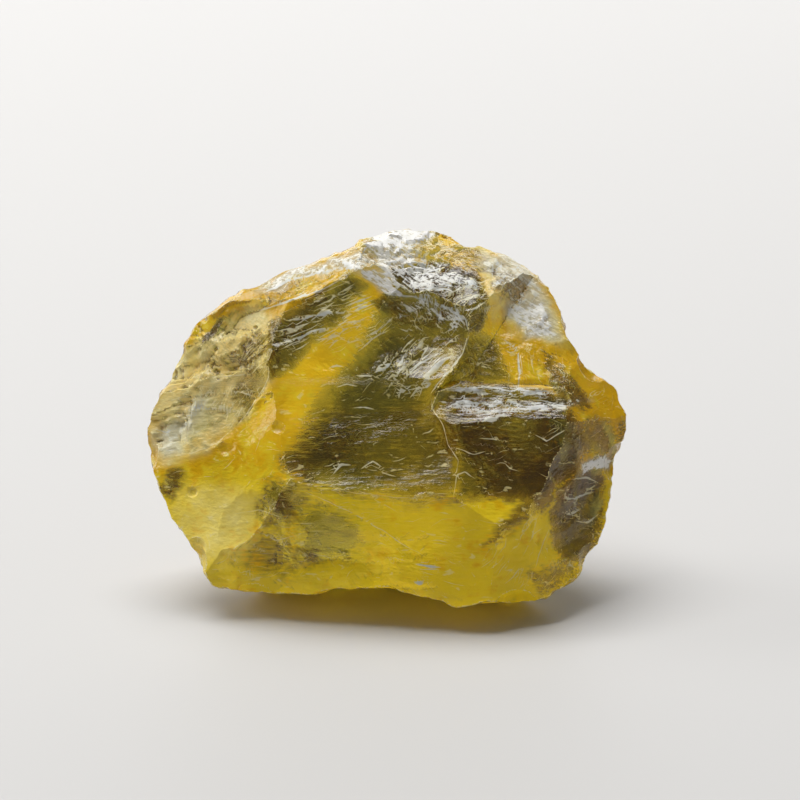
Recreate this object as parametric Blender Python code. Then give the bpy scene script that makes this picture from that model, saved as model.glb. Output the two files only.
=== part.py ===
"""A rough piece of clear yellow citrine, 48 mm wide, broken on every side and resting on a small flat.

It is made the way such a stone comes about. A blank has the outline of the piece. Each broken face is then
struck off it by a block whose inner side is a shallow bowl with faint ribs, because quartz breaks like thick
glass. Where a face stops short, two blocks meet and leave a ledge. Round cutters leave the hollows and the
chips along the edge.

The sketch frame is the one in which the broad front face is seen: X to the right, Y up, Z toward the viewer,
in millimetres. The finished stone leans back from it by LEAN, with its flat on the ground.
"""

import math
from dataclasses import dataclass

import bmesh
import bpy
from mathutils import Matrix, Vector

MM = 0.001
LEAN = math.radians(18.0)  # how far the front leans back from upright
GROUND = 0.0  # height of the ground over the foot of the sketch frame, mm
HEART = Vector((0.0, 17.0, 0.0))  # a point deep in the stone: every broken face looks away from it
FOOT = Vector((0.0, 1.0, 0.0))  # a point low in the stone, over the resting flat

STRIKER_RADIUS = 56.0  # radius of the block that strikes a broken face, mm
STRIKER_TOP = 50.0  # how far that block reaches out of the stone
STRIKER_SIDES = 24
BOWL_RISE = 6.0  # where the bowl stops rising past its far side, as a share of its bow
TOUCHING = 0.0001  # points of the turned body that are one point, mm
BALL_SEGMENTS = 24  # of the balls that leave hollows and chips
BALL_RINGS = 14
GROUND_BLOCK = 90.0  # side of the block that cuts the resting flat

CITRINE_COLOUR = (0.86, 0.62, 0.06, 1.0)
CITRINE_IOR = 1.55
CITRINE_ROUGHNESS = 0.08

# The outline of the stone in the sketch frame, clockwise from the crest. The third number is how far
# toward the viewer the edge stands there: the crest lies back, and the lower edge comes forward over
# the resting flat.
OUTLINE = [
    (-1.8, 37.0, -4.6),
    (0.6, 37.6, -5.0),
    (4.6, 37.6, -5.2),
    (8.2, 36.5, -4.8),
    (12.2, 34.6, -3.6),
    (15.9, 32.5, -2.9),
    (17.1, 29.6, -1.9),
    (18.2, 26.4, -0.6),
    (19.8, 23.7, 0.3),
    (21.2, 22.9, 0.2),
    (22.8, 21.3, 0.0),
    (23.9, 18.8, 0.0),
    (23.7, 16.5, 0.2),
    (22.6, 13.9, 1.0),
    (22.6, 11.0, 1.0),
    (21.7, 8.1, 1.8),
    (20.3, 5.2, 3.0),
    (18.9, 2.6, 4.2),
    (16.2, 0.8, 6.2),
    (12.0, 0.2, 7.9),
    (6.2, 0.0, 8.7),
    (1.6, 1.2, 8.3),
    (-2.0, 1.9, 7.9),
    (-5.0, 1.4, 7.3),
    (-12.0, 1.1, 6.2),
    (-16.8, 1.6, 5.4),
    (-18.3, 3.0, 5.2),
    (-19.0, 5.2, 4.8),
    (-21.0, 8.0, 3.6),
    (-23.0, 11.4, 1.8),
    (-24.1, 15.2, 0.3),
    (-24.0, 18.0, -0.6),
    (-22.7, 21.2, -1.1),
    (-21.1, 24.8, -1.3),
    (-19.5, 27.5, -1.2),
    (-16.3, 30.2, -1.3),
    (-12.6, 32.6, -2.0),
    (-8.0, 34.0, -2.6),
    (-4.4, 35.4, -3.4),
]
# How the blank swells from that edge: the share of the outline that is left, and the step along Z.
SWELL_TO_FRONT = [(0.985, 3.0), (0.95, 4.0), (0.86, 4.0), (0.6, 3.0)]
SWELL_TO_BACK = [(0.985, -4.0), (0.95, -5.0), (0.9, -5.0), (0.75, -5.0)]


@dataclass(frozen=True)
class Face:
    """A broken face: a shallow bowl through three points of the stone's skin, struck from the first of them.

    bow is how deep the bowl is halfway to the furthest point, and rib_height the height of the ribs that
    spread from the strike in rings, rib_length apart.
    """

    through: tuple
    bow: float = 0.4
    rib_height: float = 0.0
    rib_length: float = 5.0


FRONT_FACES = {
    "central": Face(((-3.3, 33.5, 3.5), (6.4, 10.8, 10.5), (-8.8, 11.8, 9.3)), 0.8, 0.1, 6.0),
    "lower centre": Face(((6.4, 10.8, 10.5), (-8.8, 11.8, 9.3), (4.2, 4.1, 9.6)), 0.3),
    "lower left": Face(((-18.3, 3.0, 5.6), (-8.8, 11.8, 9.3), (4.2, 4.1, 9.5)), 0.4, 0.06),
    "left flank": Face(((-22.3, 13.3, 2.4), (-8.8, 11.8, 9.3), (-11.6, 22.1, 6.2)), 0.5, 0.06),
    "left": Face(((-11.6, 29.5, 4.2), (-11.6, 22.1, 6.2), (-23.2, 20.6, 0.2)), 0.4, 0.08),
    "upper left": Face(((-3.3, 33.5, 3.5), (-11.6, 29.5, 4.2), (-12.0, 32.8, -1.6)), 0.3),
    "crest": Face(((-3.3, 33.5, 3.5), (10.0, 31.0, 4.0), (4.0, 37.2, -4.4)), 0.5, 0.08, 4.0),
    "right": Face(((13.2, 25.8, 6.0), (18.0, 17.5, 6.4), (23.2, 20.0, 0.4)), 0.3, 0.05),
    "right centre": Face(((18.7, 17.1, 6.2), (6.4, 10.8, 10.5), (4.4, 19.8, 8.0)), 0.4, 0.06),
    "lower right": Face(((15.7, 10.3, 8.9), (10.2, 4.3, 10.1), (16.7, 1.3, 6.4)), 0.2),
    "right window": Face(((17.4, 13.3, 6.8), (16.5, 3.0, 6.6), (22.6, 11.0, 1.2)), 0.6, 0.08, 3.0),
}

BACK_FACES = {
    "back upper": Face(((3.0, 37.0, -6.6), (-7.0, 27.0, -10.5), (7.0, 26.0, -11.0)), 0.6, 0.08),
    "back centre": Face(((0.0, 26.5, -10.8), (-9.0, 12.0, -15.5), (9.0, 11.0, -16.0)), 0.9, 0.12, 4.0),
    "back left": Face(((-23.4, 18.0, -3.0), (-9.0, 12.0, -15.5), (-7.0, 27.0, -11.4)), 0.7, 0.12),
    "back upper left": Face(((-11.0, 33.0, -5.0), (-7.0, 27.0, -10.5), (-20.6, 25.0, -3.4)), 0.5),
    "back right": Face(((23.0, 17.0, -3.2), (9.0, 11.0, -16.0), (7.0, 26.0, -12.0)), 0.6, 0.12),
    "back upper right": Face(((13.4, 34.0, -5.4), (7.0, 26.0, -11.0), (21.2, 23.0, -2.8)), 0.5),
    "back lower left": Face(((-23.0, 12.0, -0.6), (-9.0, 12.0, -15.5), (-17.0, 2.2, -0.6)), 0.8, 0.1),
    "back lower right": Face(((22.4, 10.0, -1.0), (9.0, 11.0, -16.0), (16.6, 1.2, 0.0)), 0.8, 0.1),
    "back heel": Face(((-9.0, 12.0, -15.5), (9.0, 11.0, -16.0), (0.0, 4.0, -14.5)), 0.3),
}

# Where a break stopped short: what lies outside all the faces of a notch is gone. The first of them is
# left as its floor, the second as the ledge below it, and the third, where there is one, as the cliff at
# its side.
NOTCHES = {
    "recess": (
        Face(((10.0, 27.6, 4.3), (7.6, 22.1, 4.9), (18.0, 21.6, 3.4)), 0.3, 0.06, 3.0),
        Face(((18.0, 21.7, 3.2), (6.0, 22.2, 4.8), (10.0, 20.6, 6.2)), 0.1),
        Face(((4.2, 20.6, 7.0), (8.6, 26.3, 5.6), (6.4, 21.9, 4.6)), 0.2),
    ),
    "long ledge": (
        Face(((19.0, 20.4, 4.1), (5.0, 20.1, 6.5), (11.0, 21.6, 4.7)), 0.1),
        Face(((11.0, 17.7, 7.5), (19.2, 20.3, 4.1), (4.8, 20.0, 6.6)), 0.1),
        Face(((3.6, 19.0, 8.0), (4.6, 21.6, 7.0), (5.4, 20.2, 6.2)), 0.1),
    ),
    "crest step": (
        Face(((8.0, 36.0, -3.6), (3.0, 31.4, 2.6), (12.4, 30.8, 1.9)), 0.1),
        Face(((2.2, 31.3, 3.1), (12.6, 30.6, 2.3), (7.0, 29.9, 4.4)), 0.1),
        Face(((1.4, 33.6, 1.6), (2.2, 30.4, 4.4), (3.4, 32.0, 1.4)), 0.1),
    ),
    "brow step": (
        Face(((16.4, 30.8, -0.4), (10.6, 28.6, 3.1), (16.2, 25.6, 1.8)), 0.1),
        Face(((10.2, 27.4, 3.9), (16.8, 24.6, 1.9), (13.6, 25.2, 3.7)), 0.1),
    ),
    "left step": (
        Face(((-15.0, 30.4, 1.0), (-19.8, 24.8, 0.3), (-13.0, 27.0, 2.9)), 0.1),
        Face(((-20.0, 22.6, 0.2), (-12.6, 25.0, 3.9), (-16.0, 22.6, 2.9)), 0.1),
    ),
    "back step": (
        Face(((2.0, 30.0, -9.4), (-6.0, 21.0, -11.6), (5.0, 20.6, -11.8)), 0.2),
        Face(((-8.0, 20.0, -12.8), (7.0, 19.4, -13.2), (0.0, 18.6, -14.6)), 0.2),
    ),
}


@dataclass(frozen=True)
class Hollow:
    """A round hollow: what lies inside a ball whose lowest point is depth under the skin at (X, Y)."""

    at: tuple
    radius: float
    depth: float
    behind: bool = False


HOLLOWS = {
    "round hollow": Hollow((4.2, 27.2), 9.0, 1.5),
    "left scallop": Hollow((-15.4, 20.4), 16.0, 0.9),
    "flank scallop": Hollow((-14.0, 7.6), 12.0, 0.6),
    "corner scallop": Hollow((17.6, 13.6), 8.0, 0.6),
    "window scallop": Hollow((20.6, 11.4), 6.0, 0.8),
    "back left scallop": Hollow((-9.0, 17.0), 13.0, 1.5, behind=True),
    "back right scallop": Hollow((8.6, 18.4), 15.0, 1.7, behind=True),
    "back flank scallop": Hollow((-15.0, 8.8), 12.0, 1.2, behind=True),
    "back foot scallop": Hollow((15.4, 8.4), 13.0, 1.3, behind=True),
    "back crest scallop": Hollow((3.4, 31.6), 11.0, 1.2, behind=True),
}


# Hollows in the overhang under the front: the middle of each ball and its radius.
UNDER_HOLLOWS = {
    "under left hollow": ((-9.0, -7.2, 1.8), 9.4),
    "under middle hollow": ((-1.0, -10.4, 2.6), 13.2),
    "under right hollow": ((8.4, -8.6, 3.2), 9.7),
}


@dataclass(frozen=True)
class Chip:
    """A chip: a ball sunk by depth at a point of the outline, tilt being how far it stands to the front."""

    corner: int
    radius: float
    depth: float
    tilt: float = 0.7


CHIPS = {
    "crest chip": Chip(0, 3.0, 0.4),
    "shoulder chip": Chip(5, 1.8, 0.25),
    "right brow chip": Chip(8, 2.0, 0.6, 0.5),
    "right chip": Chip(13, 2.6, 0.9, 0.2),
    "low right chip": Chip(16, 3.0, 0.6),
    "foot chip": Chip(19, 3.6, 0.7),
    "low left chip": Chip(24, 4.0, 0.6),
    "left foot chip": Chip(27, 2.4, 0.7, 0.3),
    "left chip": Chip(30, 3.0, 0.7),
    "left brow chip": Chip(33, 2.4, 0.3),
    "brow chip": Chip(36, 2.8, 0.6),
    "back left chip": Chip(31, 3.2, 0.4, -0.8),
    "back right chip": Chip(11, 3.6, 0.4, -0.8),
    "back crest chip": Chip(3, 3.0, 0.4, -0.9),
}


def clear_scene():
    """Removes the objects of the scene that the script was started in."""
    for thing in list(bpy.data.objects):
        bpy.data.objects.remove(thing)


def new_collection(name):
    """A collection of the scene."""
    collection = bpy.data.collections.new(name)
    bpy.context.scene.collection.children.link(collection)
    return collection


def new_object(name, bm, collection):
    """An object made of a bmesh in sketch millimetres, stood up in the stone's own frame in metres."""
    bmesh.ops.recalc_face_normals(bm, faces=bm.faces)
    mesh = bpy.data.meshes.new(name)
    bm.to_mesh(mesh)
    bm.free()
    mesh.transform(Matrix.Scale(MM, 4))
    thing = bpy.data.objects.new(name, mesh)
    thing.rotation_euler.x = math.radians(90.0) - LEAN
    collection.objects.link(thing)
    return thing


def hide_cutter(cutter):
    """Marks an object as a cutter: drawn as wire, and no part of the stone."""
    cutter.hide_render = True
    cutter.display_type = "WIRE"


def boolean(thing, other, operation):
    """Adds a Boolean modifier to an object."""
    modifier = thing.modifiers.new(other.name, "BOOLEAN")
    modifier.operation = operation
    modifier.object = other
    return modifier


def swell(bm, cap, centre, steps):
    """Extrudes a cap face step by step, drawing each ring in toward a centre."""
    for share, rise in steps:
        grown = bmesh.ops.extrude_face_region(bm, geom=[cap, *cap.edges])["geom"]
        cap = next(item for item in grown if isinstance(item, bmesh.types.BMFace))
        for vert in cap.verts:
            vert.co.x = centre.x + (vert.co.x - centre.x) * share
            vert.co.y = centre.y + (vert.co.y - centre.y) * share
            vert.co.z += rise


def make_blank(collection):
    """The unbroken blank: the outline, swollen to the front and to the back."""
    bm = bmesh.new()
    edge = bm.faces.new([bm.verts.new(point) for point in OUTLINE])
    swell(bm, edge, HEART, SWELL_TO_FRONT)
    swell(bm, edge, FOOT, SWELL_TO_BACK)
    bmesh.ops.triangulate(bm, faces=[face for face in bm.faces if len(face.verts) > 4])
    return new_object("citrine", bm, collection)


def bowl_height(face, reach, run):
    """How high the bowl of a broken face stands over the plane of its points, at some way from its strike."""
    half = reach / 2.0
    height = min(face.bow * (((run - half) / half) ** 2 - 1.0), BOWL_RISE * face.bow)
    return height + face.rib_height * math.cos(2.0 * math.pi * run / face.rib_length)


def face_frame(face):
    """The frame of a broken face at its strike, Z out of the stone and X to the second point; its reach."""
    strike, second, third = (Vector(point) for point in face.through)
    out = (second - strike).cross(third - strike).normalized()
    if out.dot(strike - HEART) < 0.0:
        out.negate()
    along = (second - strike).normalized()
    frame = Matrix((along, out.cross(along), out)).transposed().to_4x4()
    frame.translation = strike
    return frame, max((second - strike).length, (third - strike).length)


def make_striker(name, face, collection):
    """The block that strikes off one broken face: a turned body with the ringed bowl underneath."""
    frame, reach = face_frame(face)
    step = face.rib_length / 2.0
    bm = bmesh.new()
    rings = range(math.ceil(STRIKER_RADIUS / step) + 1)
    profile = [bm.verts.new((ring * step, 0.0, bowl_height(face, reach, ring * step))) for ring in rings]
    profile += [bm.verts.new((profile[-1].co.x, 0.0, STRIKER_TOP)), bm.verts.new((0.0, 0.0, STRIKER_TOP))]
    edges = [bm.edges.new(pair) for pair in zip(profile, profile[1:])]
    bmesh.ops.spin(
        bm,
        geom=profile + edges,
        axis=(0.0, 0.0, 1.0),
        angle=2.0 * math.pi,
        steps=STRIKER_SIDES,
        use_merge=True,
    )
    bmesh.ops.remove_doubles(bm, verts=bm.verts, dist=TOUCHING)
    bmesh.ops.transform(bm, matrix=frame, verts=bm.verts)
    striker = new_object(name, bm, collection)
    hide_cutter(striker)
    return striker


def make_ball(name, centre, radius, collection):
    """The ball that leaves a hollow or a chip."""
    bm = bmesh.new()
    place = Matrix.Translation(centre)
    bmesh.ops.create_uvsphere(
        bm, u_segments=BALL_SEGMENTS, v_segments=BALL_RINGS, radius=radius, matrix=place
    )
    ball = new_object(name, bm, collection)
    hide_cutter(ball)
    return ball


def skin_height(face, x, y):
    """How far toward the viewer a face lies over a point of the sketch, and the way that it looks."""
    frame, reach = face_frame(face)
    out = frame.col[2].to_3d()
    strike = frame.translation
    height = strike.z - (out.x * (x - strike.x) + out.y * (y - strike.y)) / out.z
    run = (Vector((x, y, height)) - strike).length
    return height + bowl_height(face, reach, run) / out.z, out


def chip_centre(chip):
    """The middle of the ball that leaves a chip."""
    corner = Vector(OUTLINE[chip.corner])
    out = Vector((corner.x - HEART.x, corner.y - HEART.y, 0.0)).normalized() + Vector((0.0, 0.0, chip.tilt))
    return corner + out.normalized() * (chip.radius - chip.depth)


def hollow_centre(hollow):
    """The middle of the ball that leaves a hollow."""
    x, y = hollow.at
    faces, pick = (BACK_FACES, max) if hollow.behind else (FRONT_FACES, min)
    height, out = pick((skin_height(face, x, y) for face in faces.values()), key=lambda found: found[0])
    return Vector((x, y, height)) + out * (hollow.radius - hollow.depth)


def make_ground(collection):
    """The block below the ground, which leaves the flat that the stone rests on."""
    side = GROUND_BLOCK * MM
    bm = bmesh.new()
    bmesh.ops.create_cube(bm, size=side)
    mesh = bpy.data.meshes.new("ground")
    bm.to_mesh(mesh)
    bm.free()
    block = bpy.data.objects.new("ground", mesh)
    block.location = (0.0, 0.0, GROUND * MM - side / 2.0)
    collection.objects.link(block)
    hide_cutter(block)
    return block


def citrine_material():
    """Clear yellow quartz."""
    material = bpy.data.materials.new("citrine")
    material.use_nodes = True
    shader = material.node_tree.nodes["Principled BSDF"]
    shader.inputs["Base Color"].default_value = CITRINE_COLOUR
    shader.inputs["Roughness"].default_value = CITRINE_ROUGHNESS
    shader.inputs["Metallic"].default_value = 0.0
    shader.inputs["IOR"].default_value = CITRINE_IOR
    shader.inputs["Transmission Weight"].default_value = 1.0
    return material


def centre_on_origin(stone, cutters):
    """Moves the stone and its cutters together, until the origin is under the stone's middle."""
    bpy.context.view_layer.update()
    shape = stone.evaluated_get(bpy.context.evaluated_depsgraph_get())
    points = [shape.matrix_world @ vert.co for vert in shape.data.vertices]
    low = [min(point[axis] for point in points) for axis in range(3)]
    high = [max(point[axis] for point in points) for axis in range(3)]
    move = Vector((-(low[0] + high[0]) / 2.0, -(low[1] + high[1]) / 2.0, -GROUND * MM))
    for thing in [stone, *cutters]:
        thing.location += move


def build():
    """Builds the stone."""
    clear_scene()
    stone_parts = new_collection("raw_citrine")
    cutter_parts = new_collection("cutters")
    stone = make_blank(stone_parts)
    stone.data.materials.append(citrine_material())
    cutters = []
    for name, face in {**FRONT_FACES, **BACK_FACES}.items():
        cutters.append(make_striker(name, face, cutter_parts))
        boolean(stone, cutters[-1], "DIFFERENCE")
    for name, faces in NOTCHES.items():
        notch = [
            make_striker(f"{name} {number}", face, cutter_parts) for number, face in enumerate(faces, 1)
        ]
        for other in notch[1:]:
            boolean(notch[0], other, "INTERSECT")
        cutters += notch
        boolean(stone, notch[0], "DIFFERENCE")
    for name, hollow in HOLLOWS.items():
        cutters.append(make_ball(name, hollow_centre(hollow), hollow.radius, cutter_parts))
        boolean(stone, cutters[-1], "DIFFERENCE")
    for name, (centre, radius) in UNDER_HOLLOWS.items():
        cutters.append(make_ball(name, centre, radius, cutter_parts))
        boolean(stone, cutters[-1], "DIFFERENCE")
    for name, chip in CHIPS.items():
        cutters.append(make_ball(name, chip_centre(chip), chip.radius, cutter_parts))
        boolean(stone, cutters[-1], "DIFFERENCE")
    cutters.append(make_ground(cutter_parts))
    boolean(stone, cutters[-1], "DIFFERENCE")
    centre_on_origin(stone, cutters)


build()
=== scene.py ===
"""The looks of a rough piece of clear yellow citrine, 48 mm wide: its surface, colour, floor and light.

The stone is broken out of a blank once more, with the same faces, ledges, hollows and chips as the
frame's solid. Here the block that strikes off a face has a fine underside, so the face keeps its ripples,
the ridges that run away from its strike, its small steps and its scars.

The sketch frame is the one in which the broad front face is seen: X to the right, Y up, Z toward the
viewer, in millimetres. The stone leans back from it by LEAN.
"""

import logging
import math
import random
from collections.abc import Callable
from dataclasses import dataclass, field
from enum import Enum

import bmesh
import bpy
import numpy as np
from mathutils import Matrix, Vector, noise
from mathutils.kdtree import KDTree


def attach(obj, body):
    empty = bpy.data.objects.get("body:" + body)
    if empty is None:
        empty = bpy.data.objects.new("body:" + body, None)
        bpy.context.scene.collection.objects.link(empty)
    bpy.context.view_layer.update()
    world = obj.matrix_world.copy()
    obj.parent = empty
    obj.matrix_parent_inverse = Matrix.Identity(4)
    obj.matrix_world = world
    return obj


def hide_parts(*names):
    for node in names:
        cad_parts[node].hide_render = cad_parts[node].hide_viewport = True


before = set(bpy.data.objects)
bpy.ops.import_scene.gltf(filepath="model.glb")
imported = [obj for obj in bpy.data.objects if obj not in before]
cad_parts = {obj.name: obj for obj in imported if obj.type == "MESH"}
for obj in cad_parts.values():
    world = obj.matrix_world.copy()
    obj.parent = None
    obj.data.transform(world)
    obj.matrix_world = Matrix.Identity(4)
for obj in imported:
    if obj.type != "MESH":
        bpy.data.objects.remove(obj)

log = logging.getLogger("citrine")

MM = 0.001
LEAN = math.radians(18.0)  # how far the front leans back from upright
PLACE = Vector((0.106, -4.740, 0.0))  # where the foot of the sketch frame stands in the row frame, mm
STAND_UP = (
    Matrix.Translation(PLACE * MM)
    @ Matrix.Rotation(math.radians(90.0) - LEAN, 4, "X")
    @ Matrix.Scale(MM, 4)
)  # from the sketch frame in millimetres to the row frame in metres
HEART = Vector((0.0, 17.0, 0.0))  # a point deep in the stone: every broken face looks away from it
FOOT = Vector((0.0, 1.0, 0.0))  # a point low in the stone, over the resting flat
HACKLE_SEED = 23  # settles where the hackles fall

# Layers of noise: the height of each, its length in mm and its seed.
RIM_LAYERS = ((0.5, 3.2, 5.0), (0.28, 1.1, 8.0), (0.12, 0.5, 2.0))
WAVE_LAYERS = ((2.0, 7.0, 1.0), (1.0, 2.6, 2.0))
TERRACE_LAYERS = ((5.0, 3.4, 6.0), (1.4, 1.2, 12.0))
HOLLOW_LAYERS = ((0.12, 2.4, 4.0), (0.04, 0.9, 4.0))
CHIP_LAYERS = ((0.1, 1.6, 3.0), (0.06, 0.7, 6.0))
PATCH_LAYERS = ((1.0, 13.0, 15.0), (0.35, 4.0, 16.0))

# The outline of the stone in the sketch frame, clockwise from the crest.
OUTLINE = [
    (-1.8, 37.0, -4.6),
    (0.6, 37.6, -5.0),
    (4.6, 37.6, -5.2),
    (8.2, 36.5, -4.8),
    (12.2, 34.6, -3.6),
    (15.9, 32.5, -2.9),
    (17.1, 29.6, -1.9),
    (18.2, 26.4, -0.6),
    (19.8, 23.7, 0.3),
    (21.2, 22.9, 0.2),
    (22.8, 21.3, 0.0),
    (23.9, 18.8, 0.0),
    (23.7, 16.5, 0.2),
    (22.6, 13.9, 1.0),
    (22.6, 11.0, 1.0),
    (21.7, 8.1, 1.8),
    (20.3, 5.2, 3.0),
    (18.9, 2.6, 4.2),
    (16.2, 0.8, 6.2),
    (12.0, 0.2, 7.9),
    (6.2, 0.0, 8.7),
    (1.6, 1.2, 8.3),
    (-2.0, 1.9, 7.9),
    (-5.0, 1.4, 7.3),
    (-12.0, 1.1, 6.2),
    (-16.8, 1.6, 5.4),
    (-18.3, 3.0, 5.2),
    (-19.0, 5.2, 4.8),
    (-21.0, 8.0, 3.6),
    (-23.0, 11.4, 1.8),
    (-24.1, 15.2, 0.3),
    (-24.0, 18.0, -0.6),
    (-22.7, 21.2, -1.1),
    (-21.1, 24.8, -1.3),
    (-19.5, 27.5, -1.2),
    (-16.3, 30.2, -1.3),
    (-12.6, 32.6, -2.0),
    (-8.0, 34.0, -2.6),
    (-4.4, 35.4, -3.4),
]
SWELL_TO_FRONT = [(0.985, 3.0), (0.95, 4.0), (0.86, 4.0), (0.6, 3.0)]
SWELL_TO_BACK = [(0.985, -4.0), (0.95, -5.0), (0.9, -5.0), (0.75, -5.0)]


@dataclass(frozen=True)
class Grain:
    """The fine relief of a broken face, in millimetres.

    wave is its long unevenness, ripple the height of the rings about the strike, ripple_length their
    distance, hackle the height of the ridges that run away from the strike, and step that of its small
    terraces.
    """

    wave: float = 0.05
    ripple: float = 0.03
    ripple_length: float = 1.4
    hackle: float = 0.03
    step: float = 0.0


class Break(Enum):
    """How a face broke, which settles its fine relief."""

    GLASSY = Grain(wave=0.05, ripple=0.04, ripple_length=1.2, hackle=0.05)
    RIPPLED = Grain(wave=0.06, ripple=0.08, ripple_length=1.1, hackle=0.06)
    HACKLY = Grain(wave=0.08, ripple=0.04, hackle=0.1, step=0.12)
    STEPPED = Grain(wave=0.12, ripple=0.05, hackle=0.1, step=0.32)
    HIDDEN = Grain(wave=0.14, ripple=0.09, ripple_length=1.5, hackle=0.12, step=0.14)


@dataclass(frozen=True)
class Face:
    """A broken face: a shallow bowl through three points of the skin, struck from the first of them."""

    through: tuple
    bow: float = 0.4
    rib_height: float = 0.0
    rib_length: float = 5.0
    how: Break = Break.GLASSY


FRONT_FACES = {
    "central": Face(((-3.3, 33.5, 3.5), (6.4, 10.8, 10.5), (-8.8, 11.8, 9.3)), 0.8, 0.1, 6.0),
    "lower centre": Face(((6.4, 10.8, 10.5), (-8.8, 11.8, 9.3), (4.2, 4.1, 9.6)), 0.3),
    "lower left": Face(
        ((-18.3, 3.0, 5.6), (-8.8, 11.8, 9.3), (4.2, 4.1, 9.5)), 0.4, 0.06, 5.0, Break.HACKLY),
    "left flank": Face(((-22.3, 13.3, 2.4), (-8.8, 11.8, 9.3), (-11.6, 22.1, 6.2)), 0.5, 0.06, 5.0),
    "left": Face(
        ((-11.6, 29.5, 4.2), (-11.6, 22.1, 6.2), (-23.2, 20.6, 0.2)), 0.4, 0.08, 5.0, Break.STEPPED),
    "upper left": Face(((-3.3, 33.5, 3.5), (-11.6, 29.5, 4.2), (-12.0, 32.8, -1.6)), 0.3, how=Break.HACKLY),
    "crest": Face(((-3.3, 33.5, 3.5), (10.0, 31.0, 4.0), (4.0, 37.2, -4.4)), 0.5, 0.08, 4.0, Break.STEPPED),
    "right": Face(((13.2, 25.8, 6.0), (18.0, 17.5, 6.4), (23.2, 20.0, 0.4)), 0.3, 0.05),
    "right centre": Face(
        ((18.7, 17.1, 6.2), (6.4, 10.8, 10.5), (4.4, 19.8, 8.0)), 0.4, 0.06, 5.0, Break.RIPPLED),
    "lower right": Face(((15.7, 10.3, 8.9), (10.2, 4.3, 10.1), (16.7, 1.3, 6.4)), 0.2),
    "right window": Face(
        ((17.4, 13.3, 6.8), (16.5, 3.0, 6.6), (22.6, 11.0, 1.2)), 0.6, 0.08, 3.0, Break.RIPPLED),
}
BACK_FACES = {
    name: Face(points, bow, rib_height, rib_length, Break.HIDDEN)
    for name, bow, rib_height, rib_length, points in (
        ("back upper", 0.6, 0.08, 5.0, ((3.0, 37.0, -6.6), (-7.0, 27.0, -10.5), (7.0, 26.0, -11.0))),
        ("back centre", 0.9, 0.12, 4.0, ((0.0, 26.5, -10.8), (-9.0, 12.0, -15.5), (9.0, 11.0, -16.0))),
        ("back left", 0.7, 0.12, 5.0, ((-23.4, 18.0, -3.0), (-9.0, 12.0, -15.5), (-7.0, 27.0, -11.4))),
        ("back upper left", 0.5, 0.0, 5.0, ((-11.0, 33.0, -5.0), (-7.0, 27.0, -10.5), (-20.6, 25.0, -3.4))),
        ("back right", 0.6, 0.12, 5.0, ((23.0, 17.0, -3.2), (9.0, 11.0, -16.0), (7.0, 26.0, -12.0))),
        ("back upper right", 0.5, 0.0, 5.0, ((13.4, 34.0, -5.4), (7.0, 26.0, -11.0), (21.2, 23.0, -2.8))),
        ("back lower left", 0.8, 0.1, 5.0, ((-23.0, 12.0, -0.6), (-9.0, 12.0, -15.5), (-17.0, 2.2, -0.6))),
        ("back lower right", 0.8, 0.1, 5.0, ((22.4, 10.0, -1.0), (9.0, 11.0, -16.0), (16.6, 1.2, 0.0))),
        ("back heel", 0.3, 0.0, 5.0, ((-9.0, 12.0, -15.5), (9.0, 11.0, -16.0), (0.0, 4.0, -14.5))),
    )
}

# Where a break stopped short: what lies outside all the faces of a notch is gone.
NOTCHES = {
    "recess": (
        Face(((10.0, 27.6, 4.3), (7.6, 22.1, 4.9), (18.0, 21.6, 3.4)), 0.3, 0.06, 3.0, Break.RIPPLED),
        Face(((18.0, 21.7, 3.2), (6.0, 22.2, 4.8), (10.0, 20.6, 6.2)), 0.1),
        Face(((4.2, 20.6, 7.0), (8.6, 26.3, 5.6), (6.4, 21.9, 4.6)), 0.2),
    ),
    "long ledge": (
        Face(((19.0, 20.4, 4.1), (5.0, 20.1, 6.5), (11.0, 21.6, 4.7)), 0.1),
        Face(((11.0, 17.7, 7.5), (19.2, 20.3, 4.1), (4.8, 20.0, 6.6)), 0.1),
        Face(((3.6, 19.0, 8.0), (4.6, 21.6, 7.0), (5.4, 20.2, 6.2)), 0.1),
    ),
    "crest step": (
        Face(((8.0, 36.0, -3.6), (3.0, 31.4, 2.6), (12.4, 30.8, 1.9)), 0.1, how=Break.HACKLY),
        Face(((2.2, 31.3, 3.1), (12.6, 30.6, 2.3), (7.0, 29.9, 4.4)), 0.1, how=Break.HACKLY),
        Face(((1.4, 33.6, 1.6), (2.2, 30.4, 4.4), (3.4, 32.0, 1.4)), 0.1),
    ),
    "brow step": (
        Face(((16.4, 30.8, -0.4), (10.6, 28.6, 3.1), (16.2, 25.6, 1.8)), 0.1, how=Break.HACKLY),
        Face(((10.2, 27.4, 3.9), (16.8, 24.6, 1.9), (13.6, 25.2, 3.7)), 0.1),
    ),
    "left step": (
        Face(((-15.0, 30.4, 1.0), (-19.8, 24.8, 0.3), (-13.0, 27.0, 2.9)), 0.1, how=Break.STEPPED),
        Face(((-20.0, 22.6, 0.2), (-12.6, 25.0, 3.9), (-16.0, 22.6, 2.9)), 0.1),
    ),
    "back step": (
        Face(((2.0, 30.0, -9.4), (-6.0, 21.0, -11.6), (5.0, 20.6, -11.8)), 0.2, how=Break.HIDDEN),
        Face(((-8.0, 20.0, -12.8), (7.0, 19.4, -13.2), (0.0, 18.6, -14.6)), 0.2, how=Break.HIDDEN),
    ),
}


@dataclass(frozen=True)
class Hollow:
    """A round hollow: what lies inside a ball that is sunk by depth under the skin at a point (X, Y)."""

    at: tuple
    radius: float
    depth: float
    behind: bool = False


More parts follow.
